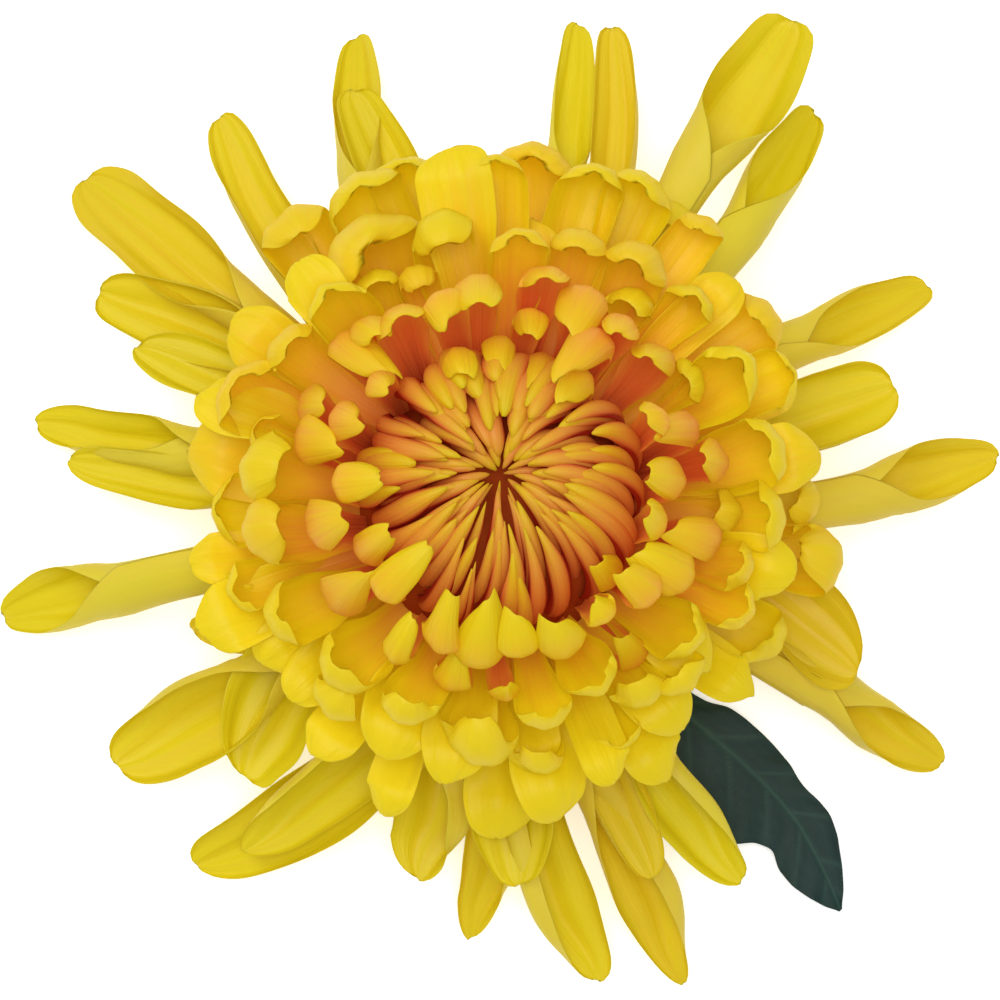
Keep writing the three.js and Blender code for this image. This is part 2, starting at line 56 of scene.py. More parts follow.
GOLDEN_ANGLE = 137.508
SEED = 20418
FOLDS_AT = 0.8
RISE_HANDLES = (0.42, 0.36)
SLOPE_STEP = 0.012
CURVE_POINTS = 40
TURN_POINTS = 20
TURNED_MOOD = (0.0, 1.0, 0.5)
WHITE = (1.0, 1.0, 1.0, 1.0)
LIT_POINT = (0.0, 0.0, 0.03)
UPWARD = np.array([0.0, 0.0, 1.0])
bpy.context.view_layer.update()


def linear(red: int, green: int, blue: int) -> tuple[float, float, float, float]:
    """Turns a colour as a screen shows it into the renderer's own scale.

    Args:
        red: red, 0 to 255.
        green: green, 0 to 255.
        blue: blue, 0 to 255.

    Returns:
        The same colour in linear light, with full alpha.
    """
    parts = []
    for value in (red, green, blue):
        share = value / 255
        parts.append(share / 12.92 if share <= 0.04045 else ((share + 0.055) / 1.055) ** 2.4)
    return (*parts, 1.0)


def smooth(low: float, high: float, x: np.ndarray) -> np.ndarray:
    """Eases from 0 to 1 between two values.

    Args:
        low: where the rise starts.
        high: where it ends.
        x: the values to ease.

    Returns:
        The eased share for each value.
    """
    t = np.clip((x - low) / (high - low), 0, 1)
    return t * t * (3 - 2 * t)


def unit(vectors: np.ndarray) -> np.ndarray:
    """Scales each vector to length 1."""
    return vectors / np.maximum(np.linalg.norm(vectors, axis=-1, keepdims=True), 1e-12)


class Whorl(Enum):
    """The kinds of floret, from the outside in."""

    GUARD = "guard_rays"
    RIM = "rim_florets"
    HOOD = "hood_florets"
    CURL = "curled_florets"
    HEART = "heart_florets"


@dataclass(frozen=True)
class Growth:
    """How the florets of one whorl grow. Lengths are in mm, angles in degrees.

    The pitch is measured outward from the horizontal. The blade rises to its shoulder, folds
    over in a tight turn to the fold's pitch and ends in a lip that turns on more slowly. Places
    along the blade run from 0 at its root to 1 at its tip, with 0.8 where the fold begins. The
    cup is half the turn of the cross-section, a low keel exponent makes a sharper keel, and the
    warmth runs from lemon at 0 to red at 1, partly the petals' own colour and partly painted
    shade where the blades lie deep. A margin fade above 0 keeps the margins lemon over a warmer
    cup, painted shade in the cup; below 0 it reddens the margins, painted shade in the gaps
    between heart florets. A depth under 1 darkens the whole whorl as painted shade.
    """

    root_r: float
    root_z: float
    root_pitch: float
    shoulder_pitch: float
    fold_pitch: float
    wider: float
    cup: tuple[float, ...]
    keel: float
    inroll: float
    inroll_at: float
    widest: float
    blunt: float
    end: float
    rows: int
    warmth_at: tuple[float, ...]
    warmth: tuple[float, ...]
    cup_at: tuple[float, ...] = (0, 0.5, 0.8, 1)
    fold_r: float = 0.0
    lip_r: float = 0.0
    lip_turn: float = 0.0
    outward: float = 0.0
    claw: float = 0.42
    claw_end: float = 0.25
    full: float = 0.85
    thick: float = 0.36
    columns: int = 18
    pale: float = 0.06
    notch: float = 0.004
    slant: float = 0.04
    margin_fade: float = 0.0
    jitter: float = 8.0
    flutes: float = 0.16
    through: float = 0.42
    depth: float = 1.0
    level: float = 0.0


GROWTH = {
    Whorl.GUARD: Growth(
        root_r=9, root_z=18, root_pitch=2, shoulder_pitch=-26, fold_pitch=-26, wider=1.04,
        claw=0.62, cup_at=(0, 0.42, 0.62, 0.85, 1),
        cup=(188, 187, 86, 44, 40), keel=0.9, inroll=16, inroll_at=0.6, widest=0.74, blunt=2.3,
        end=0.06, thick=0.45, rows=52, columns=22, warmth_at=(0, 0.15, 0.35, 0.6, 1),
        warmth=(0.4, 0.24, 0.13, 0.08, 0.04), pale=0.46, notch=0.0, slant=0.012, flutes=0.46,
        through=0.28, depth=0.86, level=1.5,
    ),
    Whorl.RIM: Growth(
        root_r=10, root_z=20, root_pitch=36, shoulder_pitch=20, fold_pitch=112, fold_r=0.3,
        lip_r=0.9, lip_turn=16, outward=0.6, wider=1.14, cup=(60, 56, 52, 50), keel=0.8,
        inroll=10, inroll_at=0.5, widest=0.7, blunt=2.1, end=0.14, rows=46,
        warmth_at=(0, 0.3, 0.5, 0.66, 0.8, 1), warmth=(0.82, 0.48, 0.28, 0.16, 0.08, 0.02),
        margin_fade=0.6, jitter=36, flutes=0.26,
    ),
    Whorl.HOOD: Growth(
        root_r=10, root_z=22, root_pitch=44, shoulder_pitch=48, fold_pitch=112, fold_r=0.32,
        lip_r=0.9, lip_turn=20, outward=1.6, wider=1.12, cup=(60, 54, 52, 56), keel=0.66,
        inroll=18, inroll_at=0.45, widest=0.78, blunt=2.0, end=0.34, rows=48,
        warmth_at=(0, 0.3, 0.5, 0.66, 0.76, 0.86, 1),
        warmth=(0.86, 0.58, 0.38, 0.23, 0.14, 0.07, 0.03), margin_fade=0.8, jitter=30, flutes=0.26,
    ),
    Whorl.CURL: Growth(
        root_r=11, root_z=23, root_pitch=40, shoulder_pitch=72, fold_pitch=124, fold_r=0.28,
        lip_r=3.2, lip_turn=20, outward=1.2, wider=1.04, cup=(60, 50, 46, 58), keel=0.66,
        inroll=12, inroll_at=0.5, widest=0.8, blunt=1.6, end=0.3, rows=52,
        warmth_at=(0, 0.4, 0.66, 0.76, 0.84, 0.92, 1),
        warmth=(0.98, 0.84, 0.66, 0.52, 0.36, 0.2, 0.08), pale=0.08, notch=0.005, slant=0.06,
        margin_fade=0.3, jitter=24,
    ),
    Whorl.HEART: Growth(
        root_r=4, root_z=25, root_pitch=20, shoulder_pitch=90, fold_pitch=90, wider=1.0,
        claw=0.7, cup_at=(0, 0.6, 1), cup=(36, 50, 66),
        keel=0.42, inroll=14, inroll_at=0.6, widest=0.52, blunt=1.5, end=0.04, thick=0.4, rows=34,
        columns=12, warmth_at=(0, 0.5, 0.66, 0.78, 0.88, 0.95, 1),
        warmth=(1, 0.84, 0.66, 0.5, 0.36, 0.24, 0.14), pale=0.0, notch=0.0, slant=0.0,
        margin_fade=-1.3, jitter=6, flutes=0.1, depth=0.95,
    ),
}


@dataclass(frozen=True)
class Seen:
    """Where the photo shows a ray, in pixels from its top left corner, as read off."""

    tip: tuple[int, int]
    middle: tuple[int, int]


@dataclass(frozen=True)
class Placed:
    """A floret's place given outright: its bearing, reach and swing round on its way out."""

    bearing: float
    reach: float
    swing: float = 0.0


# Outermost rays: place, tip height, breadth, sway of the root, where the quill opens,
# how far one margin is furled (its sign says which)
GUARD_RAYS = (
    (Seen(tip=(357, 37), middle=(357, 112)), 1, 6.9, 5, 0.62, 30),
    (Seen(tip=(353, 90), middle=(385, 160)), 9, 8.2, -3, 0.3, -20),
    (Seen(tip=(578, 24), middle=(574, 110)), 5.5, 5.8, -2, 0.6, 30),
    (Seen(tip=(612, 27), middle=(615, 110)), 8.5, 6.4, 3, 0.56, -36),
    (Seen(tip=(793, 20), middle=(727, 125)), 10, 11.5, 4, 0.68, 20),
    (Seen(tip=(814, 112), middle=(765, 188)), 4, 7.4, 8, 0.7, -20),
    (Seen(tip=(928, 286), middle=(830, 330)), 1, 7.6, -5, 0.62, 44),
    (Seen(tip=(894, 386), middle=(840, 404)), 13, 10.8, 2, 0.56, 0),
    (Seen(tip=(998, 457), middle=(890, 487)), 5.5, 8.8, -8, 0.7, -24),
    (Seen(tip=(822, 528), middle=(760, 522)), 12, 10.5, 3, 0.1, 20),
    (Seen(tip=(858, 671), middle=(808, 618)), 14.5, 12.5, 9, 0.25, -24),
    (Seen(tip=(942, 763), middle=(870, 721)), 1, 7.8, 3, 0.7, 54),
    (Placed(334, 50, 3), 4, 6.2, -4, 0.6, 0),
    (Seen(tip=(742, 881), middle=(688, 818)), 9, 8.2, 6, 0.5, 84),
    (Seen(tip=(684, 984), middle=(642, 885)), 1, 8.6, -3, 0.5, 100),
    (Placed(293, 54), 13, 7.6, -6, 0.4, -24),
    (Seen(tip=(598, 981), middle=(560, 895)), 5.5, 8.6, -3, 0.3, -104),
    (Placed(266, 58.5), 1, 7.8, 4, 0.3, 80),
    (Placed(273, 51), 14.5, 10.5, -2, 0.3, 24),
    (Seen(tip=(418, 879), middle=(432, 820)), 10, 10.4, 6, 0.6, 80),
    (Seen(tip=(197, 866), middle=(290, 822)), 1, 11.6, 0, 0.1, 14),
    (Seen(tip=(244, 852), middle=(318, 798)), 7, 9.4, 4, 0.2, -64),
    (Seen(tip=(117, 766), middle=(185, 728)), 7, 12.2, -6, 0.5, -40),
    (Seen(tip=(243, 776), middle=(268, 710)), 13, 14, 8, 0.12, 20),
    (Seen(tip=(192, 629), middle=(242, 632)), 8.5, 6.4, 4, 0.5, 40),
    (Seen(tip=(213, 586), middle=(262, 602)), 22, 8.8, 3, 0.2, -20),
    (Seen(tip=(3, 616), middle=(150, 582)), 1, 8.8, 2, 0.74, 16),
    (Seen(tip=(69, 460), middle=(190, 484)), 7, 7, 6, 0.5, -40),
    (Placed(167, 69), 3, 7, -4, 0.6, 66),
    (Seen(tip=(136, 347), middle=(185, 362)), 16, 8.2, 4, 0.35, 24),
    (Seen(tip=(99, 292), middle=(150, 310)), 8.5, 10, -4, 0.4, -24),
    (Seen(tip=(84, 180), middle=(160, 243)), 1, 11.2, 3, 0.5, -24),
    (Seen(tip=(219, 118), middle=(256, 196)), 7, 7.2, -5, 0.4, 44),
)
QUILL_BREADTH = 6.4
RESTING_HEIGHT = 1
SETTLE_PASSES = 4

# How a ray is aimed: the number of passes, the share of a gap that a pass closes at the tip and
# in the middle, the widest swing in degrees, the shortest blade in mm that a swing is spread
# over, and the least and greatest share of it that shows at the middle
AIM_PASSES = 24
TIP_STEP = 0.9
SWING_STEP = 0.7
WIDEST_SWING = 60
SHORTEST_BLADE = 20
MIDDLE_SHARES = (0.12, 0.9)

# Broad outer florets: bearing, reach, height, breadth
RIM_FLORETS = (
    (309, 38.5, 32, 8.2), (301, 43, 27, 8), (292, 40, 34, 8), (281, 42.5, 28, 9.4),
    (270, 44, 21, 9), (260, 38, 34, 8.8), (246, 37, 34, 8.6), (234, 41.5, 27, 8.4),
    (223, 38, 29, 8), (204, 43.5, 30, 9.4), (181, 37.5, 30, 8.6), (169, 43, 28, 9),
    (160, 42.5, 34, 9), (146, 44, 30, 9), (131, 41, 39, 7.6), (126, 50, 26, 9.4),
    (114, 48, 32, 10.5), (105, 49, 29, 9), (98, 48.5, 34, 8.4), (91, 46, 35, 9),
    (84, 49.5, 28, 10.4), (74, 47, 32, 8.4), (66, 48.5, 32, 8.4), (60, 48.5, 25, 8.4),
    (54, 47, 34, 7.6), (43, 43, 35, 8), (35, 44, 34, 8.4), (23, 42, 34, 8.6),
    (9, 43, 34, 8.4), (352, 45, 28, 8.4), (345, 40, 34, 7.8), (334, 41, 28, 9),
    (320, 35.5, 35, 8.2),
)

# Hooded florets standing round the middle
HOOD_FLORETS = (
    (118, 39.5, 37, 12), (103, 37, 38, 9.6), (86, 32, 45, 6.6), (73, 35, 40, 8.4),
    (60, 36.5, 40, 8.2), (45, 36, 40, 6.8), (29, 35, 40, 7.6), (11, 35, 41, 9.4),
    (356, 35, 40, 8.6), (343, 32, 41, 7), (334, 34, 40, 7), (323, 30, 42, 7),
    (314, 33, 40, 7), (305, 31, 40, 6.8), (297, 27, 45, 6.4), (282, 29, 45, 7),
    (264, 32, 40, 9.4), (247, 30, 44, 8), (231, 34, 37, 7.6), (226, 30, 41, 7.4),
    (209, 32, 39, 7.6), (190, 31, 45, 8), (174, 31, 45, 8), (157, 36.5, 40, 10.8),
    (144, 34, 40, 7.6), (131, 33, 45, 8),
)

# Curled florets that close round the heart
CURLED_FLORETS = (
    (108, 24.5, 51, 6.4), (97, 26, 51, 7.2), (78, 28, 47, 6), (67, 27.5, 47, 6.4),
    (59, 22.5, 51, 5.2), (52, 26, 50, 6.2), (41, 26.5, 47, 6), (24, 21, 52, 5),
    (19, 25.5, 49, 5.4), (8, 28, 46, 6), (3, 22, 51, 5.8), (348, 20, 52, 5.4),
    (347, 27.5, 46, 6.6), (334, 25.5, 48, 6.4), (324, 23, 51, 6.4), (308, 20.5, 51, 5),
    (291, 21.5, 51, 6.6), (277, 20.5, 50, 4.8), (264, 21, 51, 7.4), (247, 20.5, 51, 5.2),
    (237, 24.5, 47, 5), (223, 19.5, 51, 5.2), (214, 24.5, 49, 6.8), (206, 18.5, 52, 5.4),
    (193, 23.5, 51, 7), (179, 19.5, 52, 6), (166, 25.5, 47, 5.6), (156, 22, 51, 5.4),
    (154, 27.5, 45, 5.8), (140, 20, 52, 4.8), (135, 28, 46, 6.2), (129, 27, 47, 5),
    (121, 25.5, 50, 7),
)


@dataclass(frozen=True)
class Filler:
    """A ring in which more florets grow wherever the listed ones leave room, in mm."""

    inner: float
    outer: float
    height: tuple[float, float]
    breadth: float
    room: float
    tries: int


FILLERS = {
    Whorl.CURL: Filler(inner=17, outer=27, height=(47, 41), breadth=4.8, room=4.6, tries=110),
    Whorl.HOOD: Filler(inner=27, outer=36, height=(38, 33), breadth=6.2, room=5.2, tries=120),
    Whorl.RIM: Filler(inner=36, outer=44, height=(30, 26), breadth=7.4, room=5.8, tries=120),
}


def directions(bearing: np.ndarray | float) -> tuple[np.ndarray, np.ndarray]:
    """Returns the level directions outward and to the side at each bearing in radians."""
    c, s, zero = np.cos(bearing), np.sin(bearing), np.zeros_like(bearing)
    return np.stack([c, s, zero], -1), np.stack([-s, c, zero], -1)


def at_polar(bearing: float, reach: float) -> np.ndarray:
    """Returns the flat position at a bearing in degrees and a distance."""
    turn = math.radians(bearing)
    return np.array([reach * math.cos(turn), reach * math.sin(turn)])


@dataclass
class Floret:
    """One floret, in mm and degrees from the plant's axis."""

    bearing: float
    reach: float
    height: float
    breadth: float
    sway: float = 0.0
    roll: float = 0.0
    fold: float = 0.0
    turn: float = 0.0
    tone: float = 0.0
    bow: float = 0.0
    opens: float = 0.0
    swing: float = 0.0
    furl: float = 0.0
    puff: float = 0.0
    tip_r: float = 0.0
    rests: bool = False
    seen: Seen | None = None


@dataclass
class Draws:
    """A seeded source of small random differences, the same on every run."""

    state: int

    def share(self) -> float:
        """Returns the next number between 0 and 1."""
        self.state = (self.state * 1664525 + 1013904223) % 4294967296
        return self.state / 4294967296

    def about(self, spread: float) -> float:
        """Returns a number within half the spread of 0."""
        return spread * (self.share() - 0.5)


def linked(name: str, data: object) -> bpy.types.Object:
    """Makes an object of some data and puts it in the scene."""
    made = bpy.data.objects.new(name, data)
    bpy.context.scene.collection.objects.link(made)
    return made


def meshed(name: str, points: np.ndarray, faces: list, looks: dict[str, np.ndarray]) -> bpy.types.Object:
    """Makes a smooth mesh whose vertices carry looks.

    Args:
        name: the object's name.
        points: its vertices, in mm.
        faces: its faces, as lists of vertex numbers.
        looks: by attribute name, three numbers for each vertex.

    Returns:
        The new object, linked to the scene.
    """
    mesh = bpy.data.meshes.new(name)
    mesh.from_pydata((points * MM).tolist(), [], faces)
    for label, values in looks.items():
        layer = mesh.attributes.new(label, "FLOAT_VECTOR", "POINT")
        layer.data.foreach_set("vector", values.astype(np.float32).ravel())
    mesh.shade_smooth()
    return linked(name, mesh)


@dataclass
class Blades:
    """Gathers thin closed blades into one mesh with what their finish needs to know.

    Each blade is a grid with a face on both sides, joined at its margins and its tip. Its
    vertices carry two looks: petal (how far along, how far across, which side) and mood
    (tone, warmth and a number of its own).
    """

    points: list[np.ndarray] = field(default_factory=list)
    petal: list[np.ndarray] = field(default_factory=list)
    mood: list[np.ndarray] = field(default_factory=list)
    quads: list[np.ndarray] = field(default_factory=list)
    count: int = 0

    def add(self, inner: np.ndarray, outer: np.ndarray, place: np.ndarray, mood: np.ndarray) -> None:
        """Adds one blade.

        Args:
            inner: rows by columns points of the face that looks to the heart.
            outer: the same for the reverse.
            place: for each grid point, how far along and across the blade it is.
            mood: for each grid point, its tone, its warmth and the blade's own number.
        """
        rows, columns = inner.shape[:2]
        own = np.arange(rows * columns).reshape(rows, columns)
        back = own.copy()
        free = np.zeros((rows, columns), bool)
        free[:-1, 1:-1] = True
        back[free] = rows * columns + np.arange(int(free.sum()))
        side_front = np.where(free, 0.0, 0.5)
        front = np.dstack([place, side_front])
        rear = np.dstack([place, np.ones((rows, columns))])
        self.points += [inner.reshape(-1, 3), outer[free]]
        self.petal += [front.reshape(-1, 3), rear[free]]
        self.mood += [mood.reshape(-1, 3), mood[free]]
        faces = [
            np.stack([own[:-1, :-1], own[:-1, 1:], own[1:, 1:], own[1:, :-1]], -1).reshape(-1, 4),
            np.stack([back[:-1, :-1], back[1:, :-1], back[1:, 1:], back[:-1, 1:]], -1).reshape(-1, 4),
        ]
        foot = np.stack([own[0, :-1], back[0, :-1], back[0, 1:], own[0, 1:]], -1)
        faces.append(foot.reshape(-1, 4))
        self.quads += [block + self.count for block in faces]
        self.count += rows * columns + int(free.sum())

    def piece(self, name: str) -> bpy.types.Object:
        """Makes the object of all the blades that were added.

        Args:
            name: the object's name.

        Returns:
            The new object, linked to the scene.
        """
        quads = np.concatenate(self.quads).tolist()
        faces = [[corner for i, corner in enumerate(quad) if corner != quad[i - 1]] for quad in quads]
        looks = {"petal": np.concatenate(self.petal), "mood": np.concatenate(self.mood)}
        return meshed(name, np.concatenate(self.points), faces, looks)


@dataclass
class Plant:
    """The plant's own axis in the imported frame, read off the stem's solid, in mm."""

    foot: tuple[float, float, float] = field(init=False)

    def __post_init__(self) -> None:
        """Finds the middle of the stem at its cut end."""
        low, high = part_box("stem")
        self.foot = (0.5 * (low[0] + high[0]) / MM, 0.5 * (low[1] + high[1]) / MM, 0.0)


@dataclass(frozen=True)
class View:
    """The photograph's view, in mm from the plant's foot, with the tilt in radians."""

    distance: float = 400.0
    tilt: float = math.radians(8)
    field_of_view: float = 140.0
    aim_y: float = 2.7
    aim_z: float = 14.0
    pixels: float = 1000.0

    @property
    def eye(self) -> np.ndarray:
        """Returns where the camera stands."""
        back, up = self.distance * math.sin(self.tilt), self.distance * math.cos(self.tilt)
        return np.array([0.0, self.aim_y - back, self.aim_z + up])

    @property
    def scale(self) -> float:
        """Returns the pixels to a millimetre at the aim."""
        return self.pixels / self.field_of_view

    @property
    def axes(self) -> np.ndarray:
        """Returns the picture's right, up and forward directions."""
        s, c = math.sin(self.tilt), math.cos(self.tilt)
        return np.array([[1, 0, 0], [0, c, s], [0, s, -c]])

    def picture(self, points: np.ndarray) -> np.ndarray:
        """Returns the pixels at which points show."""
        right, up, depth = np.moveaxis((points - self.eye) @ self.axes.T, -1, 0)
        reach = self.scale * self.distance / depth
        return 0.5 * self.pixels + np.stack([right * reach, -up * reach], -1)

    def under(self, pixel: tuple, height: float) -> np.ndarray:
        """Returns the point at a height that shows at a pixel."""
        right, down = (np.array(pixel) / self.pixels - 0.5) * self.field_of_view / self.distance
        ray = np.array([right, -down, 1.0]) @ self.axes
        return self.eye + ray * (height - self.eye[2]) / ray[2]


def dressed(piece: bpy.types.Object, material: bpy.types.Material, node: str) -> None:
    """Gives a piece its finish, hides the solid that it replaces and attaches it to what it moves with.

    Args:
        piece: the new piece.
        material: its material.
        node: the solid that it replaces.
    """
    piece.data.materials.append(material)
    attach(piece, "root")
    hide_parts(node)
    LOG.info("%s: %d vertices, %d faces", piece.name, len(piece.data.vertices), len(piece.data.polygons))


@dataclass
class Nodes:
    """A short way to lay out a material's nodes."""

    material: bpy.types.Material

    @classmethod
    def fresh(cls, name: str) -> "Nodes":
        """Starts an empty material of that name."""
        material = bpy.data.materials.new(name)
        material.use_nodes = True
        return cls(material)

    @property
    def shader(self) -> bpy.types.Node:
        """Returns the material's surface shader."""
        return self.material.node_tree.nodes["Principled BSDF"]

    def add(self, kind: str, **values: object) -> bpy.types.Node:
        """Adds a node and sets its properties.

        Args:
            kind: the node's type, without its prefix.
            values: properties to set on it.

        Returns:
            The new node.
        """
        node = self.material.node_tree.nodes.new("ShaderNode" + kind)
        for key, value in values.items():
            setattr(node, key, value)
        return node

    def link(self, source: bpy.types.NodeSocket, target: bpy.types.NodeSocket) -> None:
        """Links one socket to another."""
        self.material.node_tree.links.new(source, target)

    def feed(self, slots: object, parts: tuple) -> None:
        """Links or sets each input, as its part is a socket or a value."""
        for slot, part in zip(slots, parts):
            if isinstance(part, bpy.types.NodeSocket):
                self.link(part, slot)
            else:
                slot.default_value = part

    def coat(self, colour: object, roughness: float, shine: float = 0.5) -> None:
        """Sets the surface shader's colour, roughness and shine."""
        names = ("Base Color", "Roughness", "Specular IOR Level")
        self.feed([self.shader.inputs[name] for name in names], (colour, roughness, shine))

    def glow(self, colour: object, strength: float) -> None:
        """Makes the surface give off a little light."""
        slots = (self.shader.inputs["Emission Color"], self.shader.inputs["Emission Strength"])
        self.feed(slots, (colour, strength))

    def number(self, kind: str, *parts: object, clamp: bool = False) -> bpy.types.NodeSocket:
        """Works out a number from sockets or values.

        Args:
            kind: the operation.
            parts: its inputs, each a socket or a number.
            clamp: whether the result stays between 0 and 1.

        Returns:
            The result's socket.
        """
        node = self.add("Math", operation=kind, use_clamp=clamp)
        self.feed(node.inputs, parts)
        return node.outputs[0]

    def ramp(self, source: bpy.types.NodeSocket, stops: tuple) -> bpy.types.NodeSocket:
        """Turns a number into a colour.

        Args:
            source: the number's socket.
            stops: pairs of position and colour.

        Returns:
            The colour's socket.
        """
        node = self.add("ValToRGB")
        elements = node.color_ramp.elements
        while len(elements) < len(stops):
            elements.new(1.0)
        for element, (position, colour) in zip(elements, stops):
            element.position = position
            element.color = colour
        self.link(source, node.inputs[0])
        return node.outputs[0]

    def mixed(
        self, share: object, one: object, other: object, blend: str = "MIX",
    ) -> bpy.types.NodeSocket:
        """Mixes two colours.

        Args:
            share: how much of the second colour, a socket or a number.
            one: the first colour, a socket or a colour.
            other: the second colour.
            blend: the way they mix.

        Returns:
            The mixed colour's socket.
        """
        node = self.add("Mix", data_type="RGBA", blend_type=blend)
        self.feed((node.inputs[0], node.inputs[6], node.inputs[7]), (share, one, other))
        return node.outputs[2]

    def attribute(self, name: str) -> list[bpy.types.NodeSocket]:
        """Reads a vertex attribute and returns its three parts."""
        node = self.add("Attribute", attribute_name=name, attribute_type="GEOMETRY")
        split = self.add("SeparateXYZ")
        self.link(node.outputs["Vector"], split.inputs[0])
        return list(split.outputs)

    def combined(self, x: object, y: object, z: object) -> bpy.types.NodeSocket:
        """Puts three numbers together as a vector."""
        node = self.add("CombineXYZ")
        self.feed(node.inputs, (x, y, z))
        return node.outputs[0]

    def noise(self, vector: bpy.types.NodeSocket, scale: float, detail: float) -> bpy.types.NodeSocket:
        """Returns the value of a noise over a vector."""
        node = self.add("TexNoise")
        self.feed([node.inputs[name] for name in ("Vector", "Scale", "Detail")], (vector, scale, detail))
        return node.outputs[0]

    def bump(self, height: bpy.types.NodeSocket, strength: float, distance: float) -> None:
        """Raises the surface by a height socket."""
        node = self.add("Bump")
        names = ("Strength", "Distance", "Height")
        self.feed([node.inputs[name] for name in names], (strength, distance, height))
        self.link(node.outputs[0], self.shader.inputs["Normal"])

    def let_through(self, colour: bpy.types.NodeSocket, share: float) -> None:
        """Lets some light pass through, as a thin living petal does.

        Args:
            colour: the colour of the light that passes.
            share: how much of the surface's light passes.
        """
        glow = self.add("BsdfTranslucent")
        self.link(colour, glow.inputs["Color"])
        both = self.add("MixShader")
        both.inputs[0].default_value = share
        self.link(self.shader.outputs[0], both.inputs[1])
        self.link(glow.outputs[0], both.inputs[2])
        self.link(both.outputs[0], self.material.node_tree.nodes["Material Output"].inputs["Surface"])


@dataclass(frozen=True)
class PetalFinish:
    """Satin yellow petal: lemon at the tip, orange then red toward the root, partly its own colour and
    partly painted shade, pale on the reverse, with a little painted glow.
    """

    lemon: tuple = linear(242, 224, 24)
    golden: tuple = linear(245, 210, 40)
    orange: tuple = linear(248, 180, 72)
    ember: tuple = linear(240, 134, 62)
    red: tuple = linear(184, 44, 24)
    reverse: tuple = linear(248, 234, 104)
    # painted shade: the red-brown that the hidden dome shows in the gaps between florets
    shade: tuple = linear(160, 66, 20)
    roughness: float = 0.46
    shine: float = 0.35
    # painted glow: how much light of their own colour the petals give off, which lifts the shade between
    # them
    glow: float = 0.08

    def material(self, name: str, growth: Growth) -> bpy.types.Material:
        """Makes the petal's material.

        Args:
            name: the material's name.
            growth: how its whorl grows, which says how pale and thin it is and how much painted shade
                darkens it.

        Returns:
            The material.
        """
        nodes = Nodes.fresh(name)
        along, across, side = nodes.attribute("petal")
        tone, warmth, chance = nodes.attribute("mood")
        streaks = nodes.noise(
            nodes.combined(
                nodes.number("MULTIPLY", across, 9.0),
                nodes.number("MULTIPLY", along, 1.8),
                nodes.number("MULTIPLY", chance, 60.0),
            ), 1.0, 2.0)
        ripple = nodes.number("SUBTRACT", streaks, 0.5)
        warm = nodes.number("ADD", warmth, nodes.number("MULTIPLY", ripple, 0.24))
        warm = nodes.number("ADD", warm, nodes.number("MULTIPLY", tone, 0.08), clamp=True)
        # The ramp's orange and red are partly the petal's own base colour and partly painted shade,
        # redder where a blade lies deep in the bloom.
        colour = nodes.ramp(warm, (
            (0.0, self.lemon), (0.22, self.golden), (0.48, self.orange),
            (0.74, self.ember), (1.0, self.red),
        ))
        cool = nodes.number("SUBTRACT", 1.0, nodes.number("MULTIPLY", warmth, 5.0), clamp=True)
        back = nodes.number("MULTIPLY", nodes.number("MULTIPLY", side, growth.pale), cool, clamp=True)
        colour = nodes.mixed(back, colour, self.reverse)
        # Painted shade: the whole whorl's colour is darkened by its depth, for the outer rays and the
        # heart.
        if growth.depth < 1:
            colour = nodes.mixed(1.0, colour, (*(growth.depth,) * 3, 1.0), "MULTIPLY")
        nodes.coat(colour, self.roughness, self.shine)
        # Painted glow: the petal gives off a little light of its own colour.
        nodes.glow(colour, self.glow)
        nodes.bump(streaks, 0.5, 0.0003)
        nodes.let_through(colour, growth.through)
        return nodes.material


